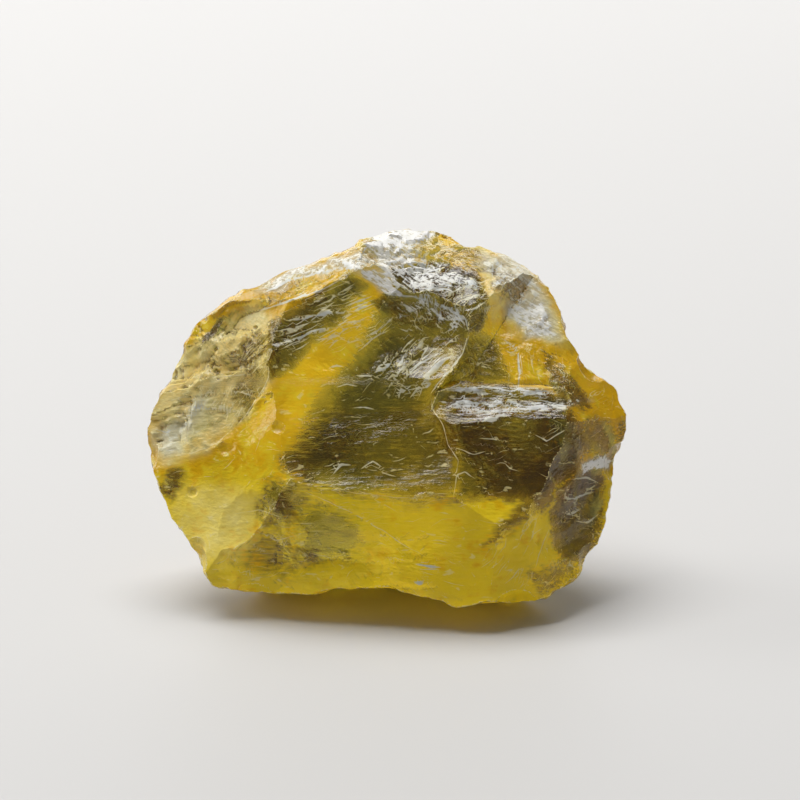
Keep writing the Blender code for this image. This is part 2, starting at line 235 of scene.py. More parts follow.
HOLLOWS = {
    "round hollow": Hollow((4.2, 27.2), 9.0, 1.5),
    "left scallop": Hollow((-15.4, 20.4), 16.0, 0.9),
    "flank scallop": Hollow((-14.0, 7.6), 12.0, 0.6),
    "corner scallop": Hollow((17.6, 13.6), 8.0, 0.6),
    "window scallop": Hollow((20.6, 11.4), 6.0, 0.8),
    "back left scallop": Hollow((-9.0, 17.0), 13.0, 1.5, behind=True),
    "back right scallop": Hollow((8.6, 18.4), 15.0, 1.7, behind=True),
    "back flank scallop": Hollow((-15.0, 8.8), 12.0, 1.2, behind=True),
    "back foot scallop": Hollow((15.4, 8.4), 13.0, 1.3, behind=True),
    "back crest scallop": Hollow((3.4, 31.6), 11.0, 1.2, behind=True),
}

# Hollows in the overhang under the front: the middle of each ball and its radius.
UNDER_HOLLOWS = {
    "under left hollow": ((-9.0, -7.2, 1.8), 9.4),
    "under middle hollow": ((-1.0, -10.4, 2.6), 13.2),
    "under right hollow": ((8.4, -8.6, 3.2), 9.7),
}


@dataclass(frozen=True)
class Chip:
    """A chip out of the edge: a ball sunk by depth at a corner of the outline.

    tilt moves it to the front, or to the back where it is below zero.
    """

    corner: int
    radius: float
    depth: float
    tilt: float = 0.7


CHIPS = {
    "crest chip": Chip(0, 3.0, 0.4),
    "shoulder chip": Chip(5, 1.8, 0.25),
    "right brow chip": Chip(8, 2.0, 0.6, 0.5),
    "right chip": Chip(13, 2.6, 0.9, 0.2),
    "low right chip": Chip(16, 3.0, 0.6),
    "foot chip": Chip(19, 3.6, 0.7),
    "low left chip": Chip(24, 4.0, 0.6),
    "left foot chip": Chip(27, 2.4, 0.7, 0.3),
    "left chip": Chip(30, 3.0, 0.7),
    "left brow chip": Chip(33, 2.4, 0.3),
    "brow chip": Chip(36, 2.8, 0.6),
    "back left chip": Chip(31, 3.2, 0.4, -0.8),
    "back right chip": Chip(11, 3.6, 0.4, -0.8),
    "back crest chip": Chip(3, 3.0, 0.4, -0.9),
}


@dataclass(frozen=True)
class Scar:
    """A small step along a line of the front, where the break jumped: frosted white where it is sharp,
    partly as a painted highlight.

    line is its points in the sketch frame, rise its height, width how far it fades out on its high side,
    and frost how white it is.
    """

    line: tuple
    rise: float = 0.1
    width: float = 0.8
    frost: float = 0.8


SCARS = {
    "long streak": Scar(((-10.1, 28.1), (-7.8, 28.5), (-5.8, 29.0), (-3.8, 29.0)), 0.12, 0.8, 1.0),
    "second streak": Scar(((-11.3, 27.2), (-8.8, 27.6), (-6.4, 28.3)), 0.07, 0.5, 0.6),
    "third streak": Scar(((-10.7, 26.0), (-8.8, 26.5), (-7.0, 27.3), (-5.5, 27.5)), 0.1, 0.7, 0.9),
    "fourth streak": Scar(((-6.6, 25.8), (-4.3, 27.3), (-1.8, 28.8)), 0.07, 0.6, 0.6),
    "fifth streak": Scar(((-4.4, 28.4), (-2.8, 29.4), (-1.2, 30.0)), 0.06, 0.5, 0.7),
    "sixth streak": Scar(((-4.3, 29.6), (-2.8, 30.2), (-1.6, 30.7)), 0.05, 0.5, 0.7),
    "lens foot": Scar(
        ((-13.4, 29.2), (-11.3, 29.7), (-8.8, 30.6), (-6.8, 31.2), (-4.3, 32.6)), 0.16, 0.9, 0.9),
    "lens brow": Scar(((-4.3, 33.6), (-7.3, 33.0), (-10.3, 32.2), (-12.8, 30.9)), 0.16, 0.9, 0.9),
    "window streak": Scar(((-7.0, 30.2), (-5.0, 30.7), (-3.4, 31.9)), 0.06, 0.5, 0.5),
    "broad flake": Scar(((-1.5, 22.8), (0.0, 23.7), (1.0, 25.2)), 0.14, 0.9, 1.0),
    "flake two": Scar(((-0.1, 21.1), (0.9, 22.9), (2.7, 24.3)), 0.1, 0.6, 0.8),
    "flake three": Scar(((1.4, 22.2), (3.2, 24.0), (5.6, 25.3)), 0.12, 0.8, 0.9),
    "flake four": Scar(((2.2, 20.5), (3.7, 22.3), (5.2, 23.8)), 0.1, 0.6, 0.7),
    "flake five": Scar(((3.4, 22.5), (5.0, 23.9), (6.6, 24.9)), 0.12, 0.7, 0.9),
    "flake six": Scar(((-3.0, 25.2), (-1.6, 26.4), (0.2, 27.4)), 0.06, 0.5, 0.6),
    "flake seven": Scar(((-2.4, 26.4), (-0.8, 27.4), (0.6, 28.6)), 0.06, 0.5, 0.6),
    "small dash": Scar(((-3.2, 22.7), (-1.6, 22.6), (-0.8, 22.4)), 0.05, 0.4, 0.7),
    "low dash": Scar(((-3.6, 19.5), (-2.2, 19.6), (-1.4, 19.3)), 0.05, 0.4, 0.8),
    "dash pair": Scar(((-5.2, 21.6), (-4.0, 21.9), (-3.0, 21.7)), 0.05, 0.4, 0.6),
    "rim top": Scar(((-0.3, 30.8), (2.2, 30.7), (5.2, 29.9), (7.7, 28.3), (8.2, 26.8)), 0.1, 0.8, 0.8),
    "rim bend": Scar(((8.2, 26.8), (7.4, 24.8), (5.7, 22.8), (4.2, 20.8)), 0.12, 0.9, 0.7),
    "rim foot": Scar(
        ((4.2, 20.8), (4.4, 19.3), (5.4, 17.9), (5.9, 15.9), (6.9, 14.3), (6.6, 12.4), (6.4, 10.4)
        ), 0.1, 0.7, 0.4),
    "centre hook": Scar(((-5.4, 12.9), (-4.6, 13.9), (-3.6, 13.8)), 0.1, 0.5, 0.7),
    "centre hook two": Scar(((-2.6, 13.5), (-1.4, 14.3), (-0.4, 13.6)), 0.08, 0.5, 0.6),
    "low seam": Scar(((-8.3, 11.3), (-4.8, 9.8), (-1.8, 8.3), (1.2, 6.3), (3.7, 4.8)), 0.12, 1.0, 0.35),
    "low seam two": Scar(((-7.0, 12.2), (-3.4, 11.2), (0.8, 10.6), (4.6, 10.9)), 0.1, 0.8, 0.3),
    "low crack": Scar(((-7.8, 5.2), (-5.6, 4.6), (-4.2, 5.0)), 0.08, 0.4, 0.35),
    "low crack two": Scar(((-13.2, 7.4), (-11.0, 6.4), (-8.8, 6.9)), 0.08, 0.5, 0.35),
    "low crack three": Scar(((-15.4, 8.9), (-12.8, 9.4), (-10.4, 8.6)), 0.06, 0.5, 0.3),
    "left crack": Scar(((-18.3, 26.3), (-17.2, 27.2), (-16.1, 28.5)), 0.16, 0.7, 0.0),
    "left shelf": Scar(((-16.6, 24.6), (-14.4, 24.3), (-12.8, 25.9), (-11.8, 27.2)), 0.16, 0.9, 0.3),
    "left shelf two": Scar(((-18.6, 22.8), (-16.2, 22.6), (-13.6, 22.9), (-12.0, 24.2)), 0.12, 0.8, 0.4),
    "left shelf three": Scar(((-20.6, 19.6), (-18.0, 19.3), (-15.2, 19.4)), 0.12, 0.8, 0.6),
    "left ladder": Scar(((-11.8, 24.6), (-11.9, 22.6), (-12.8, 20.8), (-15.0, 17.8)), 0.12, 0.6, 0.4),
    "left foot line": Scar(((-15.0, 17.8), (-17.0, 16.0), (-19.4, 15.1), (-21.6, 14.6)), 0.12, 0.6, 0.3),
    "right crack": Scar(((13.4, 27.6), (15.2, 24.2), (17.0, 21.4), (19.4, 18.8)), 0.16, 0.8, 0.0),
    "flame": Scar(((11.4, 26.6), (12.9, 25.4), (13.2, 23.0), (12.9, 21.2)), 0.14, 0.6, 0.8),
    "right fleck": Scar(((9.0, 16.6), (10.4, 16.5), (12.0, 15.9)), 0.06, 0.4, 0.5),
    "right fleck two": Scar(((14.6, 16.9), (15.8, 16.2), (17.6, 17.2)), 0.08, 0.4, 0.7),
    "right fleck three": Scar(((6.4, 15.6), (8.4, 14.9), (9.6, 15.2)), 0.06, 0.4, 0.5),
    "right fleck four": Scar(((6.2, 12.9), (7.6, 13.2), (8.6, 12.6)), 0.06, 0.4, 0.6),
    "glint": Scar(((2.7, 4.1), (4.0, 3.9), (5.2, 3.8)), 0.1, 0.4, 1.0),
    "glint two": Scar(((2.6, 2.4), (3.2, 2.2), (3.6, 2.3)), 0.08, 0.4, 1.0),
    "window ripple": Scar(((18.2, 12.4), (19.8, 12.6), (21.0, 12.0)), 0.1, 0.5, 0.7),
    "window ripple two": Scar(((17.4, 10.6), (18.6, 10.5), (20.6, 11.0)), 0.1, 0.5, 0.9),
    "window ripple three": Scar(((17.2, 9.2), (18.2, 9.0), (19.4, 9.4)), 0.1, 0.5, 0.8),
    "window ripple four": Scar(((18.8, 8.2), (20.0, 8.0), (21.2, 8.9)), 0.08, 0.4, 0.6),
    "corner streak": Scar(((15.0, 9.2), (14.2, 6.8), (13.2, 4.6)), 0.08, 0.6, 0.3),
    "corner streak two": Scar(((16.0, 7.6), (15.2, 5.6), (14.6, 3.6)), 0.08, 0.5, 0.4),
}


@dataclass(frozen=True)
class Hackles:
    """Many short scars in one part of the front, which run the same way.

    outline is that part in the sketch frame, count how many there are, way their direction in degrees
    from X, and fan how far they stray from it. length, rise and frost are the most that one has.
    """

    outline: tuple
    count: int
    way: float
    fan: float = 12.0
    length: float = 2.2
    rise: float = 0.08
    frost: float = 0.8


HACKLES = {
    "crest": Hackles(
        ((-2.4, 35.6), (1.0, 37.4), (4.2, 37.2), (4.0, 33.6), (7.6, 32.4), (1.0, 32.6)
        ), 34, 38.0, 16.0, 2.6),
    "yellow patch": Hackles(
        ((3.8, 36.8), (8.6, 35.8), (10.4, 33.0), (5.0, 33.8)), 9, 15.0, 20.0, 2.4, 0.05, 0.4),
    "under crest": Hackles(
        ((1.4, 32.4), (10.4, 32.6), (10.6, 28.6), (4.4, 29.6)), 36, 12.0, 22.0, 2.2, 0.12, 0.9),
    "brow": Hackles(
        ((-13.0, 31.4), (-8.6, 33.8), (-3.2, 35.4), (-3.4, 33.4), (-9.0, 32.6)), 30, 24.0, 14.0, 1.8),
    "lens": Hackles(
        ((-12.6, 30.2), (-9.0, 32.2), (-4.6, 33.2), (-8.0, 31.0)), 8, 20.0, 12.0, 2.4, 0.05, 0.4),
    "upper left window": Hackles(
        ((-10.8, 28.6), (-3.4, 31.8), (-3.8, 27.8), (-10.8, 24.2)), 16, 18.0, 6.0, 4.6, 0.07, 0.8),
    "band": Hackles(
        ((-4.4, 28.8), (-0.8, 29.6), (-2.8, 23.0), (-6.0, 23.6)), 12, 30.0, 14.0, 2.4, 0.05, 0.6),
    "flakes": Hackles(
        ((-2.6, 21.6), (1.6, 27.4), (6.8, 26.0), (4.0, 20.8)), 40, 46.0, 12.0, 2.6, 0.12, 0.9),
    "hollow": Hackles(
        ((0.8, 28.6), (4.6, 30.2), (7.6, 28.0), (5.4, 26.0), (2.2, 26.6)), 30, -14.0, 26.0, 1.6, 0.1, 0.6),
    "central": Hackles(
        ((-7.0, 18.0), (3.6, 19.6), (5.4, 12.0), (-7.6, 12.4)), 14, 8.0, 26.0, 1.8, 0.06, 0.4),
    "behind the rim": Hackles(
        ((6.8, 27.8), (12.4, 27.6), (13.2, 22.0), (6.2, 22.0)), 20, 4.0, 28.0, 1.8, 0.12, 0.4),
    "upper shelf": Hackles(
        ((5.4, 21.6), (16.8, 21.2), (15.0, 20.6), (6.4, 20.8)), 26, -2.0, 6.0, 3.4, 0.08, 0.9),
    "lower shelf": Hackles(
        ((4.6, 19.9), (19.6, 20.4), (13.0, 19.0), (6.4, 18.8)), 32, 2.0, 8.0, 3.4, 0.08, 0.9),
    "right centre": Hackles(
        ((6.4, 18.2), (18.6, 18.6), (17.8, 13.0), (13.2, 10.8), (7.0, 11.2)
        ), 18, -6.0, 20.0, 1.8, 0.08, 0.35),
    "shoulder": Hackles(
        ((10.4, 35.0), (13.0, 34.4), (17.0, 27.6), (13.2, 26.8), (10.6, 30.4)
        ), 26, 52.0, 24.0, 2.0, 0.14, 0.6),
    "right": Hackles(
        ((12.6, 25.8), (17.6, 25.2), (19.4, 20.4), (13.6, 21.6)), 16, -58.0, 16.0, 2.6, 0.1, 0.3),
    "lobe": Hackles(
        ((19.4, 21.6), (22.8, 20.4), (23.4, 15.4), (20.2, 16.2)), 12, 60.0, 30.0, 1.6, 0.1, 0.3),
    "left": Hackles(
        ((-18.6, 26.6), (-13.2, 30.0), (-11.8, 22.6), (-15.4, 17.6), (-23.2, 15.6)
        ), 36, 46.0, 14.0, 2.8, 0.12, 0.4),
    "left steps": Hackles(
        ((-21.6, 21.6), (-12.2, 22.6), (-13.6, 19.8), (-22.8, 17.0)), 26, 4.0, 14.0, 3.4, 0.14, 0.5),
    "flank": Hackles(
        ((-22.6, 13.8), (-12.6, 19.4), (-9.2, 12.6), (-20.6, 9.6)), 16, 28.0, 24.0, 2.4, 0.05, 0.3),
    "lower left": Hackles(
        ((-20.0, 9.4), (-4.0, 8.4), (-3.2, 2.6), (-17.0, 2.6)), 34, 12.0, 30.0, 2.0, 0.09, 0.3),
    "lower centre": Hackles(
        ((-7.4, 11.8), (15.0, 10.6), (9.0, 5.0), (-1.6, 7.8)), 14, -4.0, 12.0, 3.0, 0.06, 0.25),
    "seam": Hackles(((-6.8, 12.2), (14.0, 11.2), (12.4, 9.6), (-4.6, 10.0)), 18, -2.0, 14.0, 2.2, 0.1, 0.3),
    "foot": Hackles(((-2.0, 7.0), (8.8, 5.0), (10.0, 1.0), (-3.0, 2.4)), 10, -24.0, 18.0, 2.4, 0.06, 0.25),
    "corner": Hackles(((9.6, 5.4), (15.8, 9.6), (17.6, 2.2), (11.6, 1.0)), 22, 58.0, 12.0, 2.6, 0.07, 0.4),
    "side window": Hackles(
        ((17.6, 13.0), (21.8, 13.4), (21.6, 5.4), (16.8, 7.0)), 14, 14.0, 34.0, 1.8, 0.13, 0.5),
    "right foot": Hackles(
        ((16.0, 4.6), (20.6, 6.2), (19.4, 2.8), (15.0, 1.0)), 8, 40.0, 26.0, 1.6, 0.09, 0.4),
}


class Tone(Enum):
    """What a zone of the stone holds more of than the rest."""

    # a little smoky tone, but mostly painted shade: the dark ground seen through the clear windows, put
    # into the colour
    SMOKE = "smoke_and_shade"
    FROST = "frost"
    CLOUD = "cloud"


@dataclass(frozen=True)
class Zone:
    """A zone of the front, outlined in the sketch frame.

    strength is how much there is of its tone, soft how wide its edge is, and ragged how uneven, both in
    millimetres.
    """

    tone: Tone
    outline: tuple
    strength: float = 1.0
    soft: float = 0.6
    ragged: float = 0.8


# The smoky zones are mostly painted shade: they darken the windows, cracks and undersides where the dark
# ground shows through the stone or shade falls.
ZONES = {
    "upper left window": Zone(Tone.SMOKE, (
        (-9.8, 29.1), (-3.8, 32.6), (-2.6, 31.8), (-3.6, 30.3), (-4.3, 28.5), (-6.8, 26.8), (-8.8, 24.8),
        (-10.3, 23.1), (-11.8, 22.5), (-11.6, 27.8)), 1.0, 1.0, 0.5),
    "central window": Zone(Tone.SMOKE, (
        (-0.3, 29.3), (-1.6, 26.8), (-2.8, 23.8), (-5.3, 21.8), (-6.8, 19.3), (-7.8, 16.8), (-9.8, 14.3),
        (-7.8, 12.5), (-3.8, 11.8), (1.2, 11.1), (5.2, 11.1), (7.2, 12.3), (6.7, 15.3), (4.9, 18.3),
        (4.2, 20.3), (5.2, 23.3), (6.7, 25.8), (5.2, 28.3), (2.2, 29.8)), 1.0, 2.4, 0.6),
    "right window": Zone(Tone.SMOKE, (
        (4.9, 19.8), (8.2, 18.8), (12.2, 19.1), (17.2, 19.8), (19.2, 17.8), (20.2, 16.3), (18.4, 13.3),
        (15.7, 10.3), (13.2, 10.6), (9.2, 10.8), (6.7, 10.8), (6.2, 15.3)), 1.0, 1.1, 0.5),
    "behind the rim": Zone(Tone.SMOKE, (
        (6.7, 26.8), (9.2, 27.0), (11.2, 25.8), (12.0, 22.3), (9.2, 21.8), (5.2, 21.8), (6.2, 24.3)),
        0.9, 1.0, 0.5),
    "under the crest": Zone(Tone.SMOKE, (
        (-0.2, 33.6), (3.2, 34.0), (6.0, 33.8), (8.6, 33.8), (9.8, 30.6), (9.0, 27.0), (7.0, 25.0),
        (4.0, 26.0), (0.0, 28.6), (-1.4, 30.2), (0.6, 31.6)), 0.95, 0.5, 1.0),
    "upper mottle": Zone(Tone.SMOKE, (
        (-12.4, 11.0), (-11.4, 12.3), (-9.0, 12.2), (-8.4, 10.6), (-8.9, 8.2), (-11.2, 8.0), (-12.8, 9.6)
        ), 0.66, 1.6, 0.9),
    "middle mottle": Zone(Tone.SMOKE, (
        (-8.6, 9.4), (-5.8, 9.5), (-3.4, 7.8), (-2.6, 6.4), (-4.4, 4.6), (-8.2, 4.2), (-9.2, 6.2)
        ), 0.66, 1.8, 1.0),
    "low mottles": Zone(Tone.SMOKE, (
        (-14.0, 6.4), (-11.0, 7.2), (-8.0, 6.4), (-6.0, 4.2), (-9.6, 2.8), (-14.4, 3.4)), 0.3, 1.6, 1.2),
    "left shade": Zone(Tone.SMOKE, (
        (-15.6, 25.1), (-12.6, 27.3), (-12.2, 25.3), (-12.0, 23.1), (-12.6, 20.5), (-14.8, 18.3),
        (-15.2, 20.3), (-14.2, 22.8)), 0.4, 0.5, 1.0),
    "left crack": Zone(Tone.SMOKE, (
        (-18.6, 25.9), (-17.6, 26.5), (-16.5, 28.1), (-16.0, 28.9), (-16.7, 28.7), (-17.7, 27.6),
        (-18.5, 26.5)), 0.8, 0.3, 0.3),
    "left mottles": Zone(Tone.SMOKE, (
        (-20.8, 21.3), (-17.3, 28.3), (-14.3, 28.8), (-12.8, 24.3), (-14.3, 17.3), (-18.8, 15.8),
        (-22.3, 17.3)), 0.16, 1.0, 2.2),
    "crest top": Zone(Tone.FROST, (
        (-2.2, 36.0), (-0.6, 37.6), (2.7, 38.0), (4.4, 37.2), (3.4, 36.0), (0.9, 35.4), (-1.4, 35.2)
        ), 0.78, 0.5, 0.8),
    "crest streak": Zone(Tone.FROST, (
        (-3.0, 33.2), (-1.6, 33.6), (0.4, 31.9), (1.8, 30.9), (1.2, 30.3), (-0.6, 31.2), (-2.0, 32.2)
        ), 0.66, 0.3, 0.6),
    "shoulder shade": Zone(Tone.SMOKE, (
        (9.6, 34.6), (12.4, 33.4), (14.4, 31.6), (13.4, 30.4), (11.4, 30.0), (10.2, 31.8)), 0.35, 0.6, 1.2),
    "shelf shade": Zone(Tone.SMOKE, (
        (4.4, 21.6), (16.4, 21.2), (19.0, 20.2), (16.0, 19.4), (5.0, 19.4)), 0.85, 0.3, 0.6),
    "foot window": Zone(Tone.SMOKE, (
        (14.2, 2.8), (15.6, 3.9), (17.4, 4.0), (19.0, 3.4), (17.4, 1.4), (15.2, 1.2)), 0.45, 1.3, 0.9),
    "right crack": Zone(Tone.SMOKE, (
        (15.0, 25.8), (16.4, 24.4), (17.8, 22.8), (19.2, 21.2), (20.4, 20.0), (19.8, 18.9),
        (18.2, 19.9), (17.0, 21.7), (15.8, 23.7)), 0.5, 0.7, 0.9),
    "left spot": Zone(Tone.SMOKE, (
        (-22.3, 13.3), (-20.8, 13.3), (-20.3, 11.8), (-21.6, 10.3), (-22.8, 11.3)), 0.5, 0.9, 0.6),
    "corner sliver": Zone(Tone.SMOKE, (
        (20.2, 16.3), (19.2, 13.9), (17.0, 11.6), (15.6, 9.4), (14.0, 8.7), (11.6, 7.2), (9.6, 6.0),
        (13.0, 10.0), (17.2, 14.2)), 0.6, 1.0, 0.4),
    "side window": Zone(Tone.SMOKE, (
        (18.6, 13.2), (21.2, 13.6), (21.4, 9.8), (20.7, 5.8), (19.9, 4.2), (17.2, 4.0), (16.6, 6.4),
        (16.3, 9.4), (17.4, 11.2)), 0.95, 0.9, 0.4),
    "lobe mottles": Zone(Tone.SMOKE, (
        (20.0, 17.3), (21.2, 18.3), (23.2, 17.3), (23.7, 15.3), (21.7, 14.3), (20.4, 15.3)), 0.5, 1.5, 1.2),
    "crest frost": Zone(Tone.FROST, (
        (-2.6, 35.8), (-1.3, 37.1), (1.2, 37.9), (2.8, 37.6), (3.4, 36.2), (3.0, 34.4), (7.8, 33.4),
        (8.7, 32.0), (5.2, 31.2), (1.2, 31.4), (-0.6, 31.4), (-1.2, 33.0), (-1.8, 34.1)), 0.62, 0.7, 0.8),
    "crest gold": Zone(Tone.SMOKE, (
        (3.0, 37.6), (8.4, 36.6), (10.4, 34.6), (9.6, 33.4), (6.0, 34.0), (3.2, 34.6)), 0.3, 0.8, 1.2),
    "lens gold": Zone(Tone.SMOKE, (
        (-13.6, 30.6), (-12.0, 31.8), (-5.0, 33.6), (-4.4, 32.8), (-8.4, 30.8), (-12.2, 29.4)),
        0.2, 0.5, 0.8),
    "brow frost": Zone(Tone.FROST, (
        (-13.2, 31.1), (-11.8, 32.8), (-8.8, 34.0), (-5.8, 34.4), (-4.3, 35.0), (-2.6, 35.8), (-1.6, 34.1),
        (-2.6, 32.9), (-3.8, 33.3), (-5.8, 33.5), (-8.8, 32.8), (-11.3, 31.6)), 0.6, 0.6, 0.9),
    "shoulder frost": Zone(Tone.FROST, (
        (9.4, 34.2), (11.0, 35.4), (13.2, 34.8), (15.6, 32.2), (16.9, 28.6), (17.2, 26.4), (15.2, 26.3),
        (13.2, 28.0), (11.7, 30.0), (10.4, 32.3)), 0.5, 0.8, 1.0),
    "shoulder core": Zone(Tone.FROST, (
        (11.6, 29.2), (13.0, 30.4), (15.9, 30.2), (16.9, 27.6), (16.2, 26.2), (14.0, 26.6), (12.7, 27.6)
        ), 0.62, 0.5, 0.9),
    "hollow frost": Zone(Tone.FROST, (
        (0.4, 29.1), (1.2, 30.3), (4.2, 30.7), (6.7, 29.5), (8.0, 27.8), (7.2, 26.8), (5.2, 28.3),
        (3.2, 29.1), (1.2, 28.5)), 0.54, 0.4, 0.6),
    "upper shelf frost": Zone(Tone.FROST, (
        (5.2, 21.9), (9.2, 21.8), (14.2, 21.5), (17.0, 21.3), (15.2, 20.7), (11.2, 20.6), (6.7, 21.0)
        ), 0.54, 0.3, 0.4),
    "lower shelf frost": Zone(Tone.FROST, (
        (4.2, 20.0), (7.2, 20.3), (11.2, 20.0), (15.7, 20.3), (20.4, 20.6), (17.2, 19.3), (13.2, 19.0),
        (10.2, 18.1), (8.2, 18.7), (5.2, 19.2)), 0.56, 0.3, 0.5),
    "left white": Zone(Tone.FROST, (
        (-23.8, 16.3), (-22.3, 17.8), (-20.3, 18.8), (-18.3, 20.8), (-18.0, 19.8), (-19.8, 17.3),
        (-20.3, 15.3), (-22.3, 14.3)), 0.45, 0.9, 0.8),
    "flank glow": Zone(Tone.CLOUD, (
        (-20.6, 10.6), (-15.0, 11.4), (-12.6, 8.6), (-14.4, 4.6), (-18.6, 4.2), (-20.4, 7.6)),
        0.35, 2.0, 1.0),
    "left white cloud": Zone(Tone.CLOUD, (
        (-23.8, 16.3), (-22.3, 18.4), (-20.3, 19.6), (-18.3, 21.2), (-16.8, 20.0), (-17.6, 17.3),
        (-19.8, 15.0), (-22.3, 14.0)), 1.0, 1.4, 1.0),
    "side window rim": Zone(Tone.FROST, (
        (19.2, 13.9), (21.2, 14.8), (22.6, 14.6), (22.2, 13.2), (20.7, 13.5), (19.4, 12.9)
        ), 0.75, 0.3, 0.4),
    "left cloud": Zone(Tone.CLOUD, (
        (-18.8, 26.3), (-13.0, 30.3), (-11.6, 28.3), (-11.6, 22.3), (-13.3, 20.3), (-15.3, 17.3),
        (-18.8, 14.8), (-22.3, 14.3), (-24.5, 16.3), (-23.8, 20.3), (-21.5, 24.3)), 0.62, 0.8, 0.8),
    "shoulder cloud": Zone(Tone.CLOUD, (
        (9.0, 35.6), (13.0, 35.0), (17.6, 29.4), (17.4, 25.6), (13.6, 26.6), (10.6, 28.6), (9.4, 31.0)
        ), 0.6, 1.0, 1.0),
}


def smooth_step(values: np.ndarray, low: float, high: float) -> np.ndarray:
    """A soft step from 0 at low to 1 at high.

    Args:
        values: The numbers to step.
        low: Where the step starts.
        high: Where it ends.

    Returns:
        The stepped numbers.
    """
    share = np.clip((values - low) / (high - low), 0.0, 1.0)
    return share * share * (3.0 - 2.0 * share)


def noise_at(points: np.ndarray, length: float, seed: float) -> np.ndarray:
    """Smooth noise, mostly from -0.6 to 0.6.

    Args:
        points: Points as rows.
        length: The noise's own length, in the units of the points.
        seed: Moves the pattern.

    Returns:
        One number for each point.
    """
    shift = Vector((seed, -1.7 * seed, 0.37 * seed))
    return np.array([noise.noise(Vector(point) / length + shift) for point in points])


def layers_at(points: np.ndarray, layers: tuple) -> np.ndarray:
    """Noise in layers.

    Args:
        points: Points as rows.
        layers: The height, the length and the seed of each layer.

    Returns:
        One number for each point.
    """
    return sum(height * noise_at(points, length, seed) for height, length, seed in layers)


def sway_at(points: np.ndarray, length: float, seeds: tuple) -> np.ndarray:
    """Noise that moves spots of the front about.

    Args:
        points: Points as rows.
        length: The noise's own length, mm.
        seeds: Its seed along X and along Y.

    Returns:
        The moves along X and Y as rows.
    """
    return np.stack([noise_at(points, length, seed) for seed in seeds], axis=1)


def rings_at(run: np.ndarray, length: float) -> np.ndarray:
    """Narrow rings about a strike, from 0 between them to 1 on them, a length apart."""
    return (1.0 - np.abs(np.sin(math.pi * run / length))) ** 2


def line_distance(spots: np.ndarray, line: tuple) -> tuple[np.ndarray, np.ndarray]:
    """How far spots of the front are from a line, and how far along it.

    Args:
        spots: X and Y as rows.
        line: The points of the line.

    Returns:
        The signed distance, above zero on its left, and the share of the line that is passed.
    """
    best = np.full(len(spots), np.inf)
    side = np.ones(len(spots))
    along = np.zeros(len(spots))
    lengths = [math.dist(a, b) for a, b in zip(line, line[1:])]
    passed = 0.0
    for (a, b), length in zip(zip(line, line[1:]), lengths):
        start = np.array(a)
        run = np.array(b) - start
        share = np.clip((spots - start) @ run / (length * length), 0.0, 1.0)
        away = spots - start - share[:, None] * run
        distance = np.hypot(away[:, 0], away[:, 1])
        nearer = distance < best
        best = np.where(nearer, distance, best)
        side = np.where(nearer, np.sign(run[0] * away[:, 1] - run[1] * away[:, 0]), side)
        along = np.where(nearer, (passed + share * length) / sum(lengths), along)
        passed += length
    return best * side, along


def inside_distance(spots: np.ndarray, outline: tuple) -> np.ndarray:
    """How deep spots of the front are inside an outline.

    Args:
        spots: X and Y as rows.
        outline: The corners of the outline.

    Returns:
        The distance to the outline, above zero inside it.
    """
    closed = (*outline, outline[0])
    distance = np.abs(line_distance(spots, closed)[0])
    inside = np.zeros(len(spots), bool)
    for (ax, ay), (bx, by) in zip(closed, closed[1:]):
        if ay == by:
            continue
        crosses = (spots[:, 1] < ay) != (spots[:, 1] < by)
        inside ^= crosses & (spots[:, 0] < ax + (spots[:, 1] - ay) * (bx - ax) / (by - ay))
    return np.where(inside, distance, -distance)


def scar_reach(
    scar: Scar, spots: np.ndarray, sway: np.ndarray
) -> tuple[np.ndarray, np.ndarray, np.ndarray]:
    """Where a scar changes the front.

    Args:
        scar: The scar.
        spots: X and Y as rows.
        sway: How far each spot is moved about first.

    Returns:
        The numbers of the spots near it, their distance from it, which is above zero on its left, and its
        strength there, which fades out to its two ends.
    """
    line = np.array(scar.line)
    room = 3.5 * scar.width + 0.5
    near = (spots > line.min(axis=0) - room) & (spots < line.max(axis=0) + room)
    near = np.flatnonzero(near.all(axis=1))
    away, along = line_distance(spots[near] + sway[near], scar.line)
    return near, away, np.sqrt(np.clip(4.0 * along * (1.0 - along), 0.0, 1.0))


def bowl_height(face: Face, reach: float, run: np.ndarray) -> np.ndarray:
    """How high the bowl of a broken face stands over the plane of its points.

    Args:
        face: The face.
        reach: How far its furthest point is from its strike.
        run: Distances from the strike.

    Returns:
        The heights, below zero in the bowl.
    """
    half = reach / 2.0
    height = np.minimum(face.bow * (((run - half) / half) ** 2 - 1.0), 6.0 * face.bow)
    return height + face.rib_height * np.cos(2.0 * math.pi * run / face.rib_length)


def frame_at(place: Vector, out: Vector, along: Vector) -> Matrix:
    """A frame on the surface of the stone.

    Args:
        place: Where it is.
        out: Its Z, which looks out of the stone.
        along: Its X.

    Returns:
        The frame.
    """
    turned = Matrix((along, out.cross(along), out)).transposed().to_4x4()
    turned.translation = place
    return turned


def face_frame(face: Face) -> tuple[Matrix, float]:
    """The frame of a broken face, from its strike: Z out of the stone and X toward the second point.

    Args:
        face: The face.

    Returns:
        The frame and the face's reach.
    """
    strike, second, third = (Vector(point) for point in face.through)
    out = (second - strike).cross(third - strike).normalized()
    if out.dot(strike - HEART) < 0.0:
        out.negate()
    turned = frame_at(strike, out, (second - strike).normalized())
    return turned, max((second - strike).length, (third - strike).length)


def skin_height(face: Face, x: float, y: float) -> tuple[float, Vector]:
    """How far toward the viewer a face lies over a point of the sketch.

    Args:
        face: The face.
        x: The point's X.
        y: The point's Y.

    Returns:
        The height, and the direction that the face looks in.
    """
    turned, reach = face_frame(face)
    out = turned.col[2].to_3d()
    strike = turned.translation
    height = strike.z - (out.x * (x - strike.x) + out.y * (y - strike.y)) / out.z
    run = (Vector((x, y, height)) - strike).length
    return height + float(bowl_height(face, reach, np.array(run))) / out.z, out


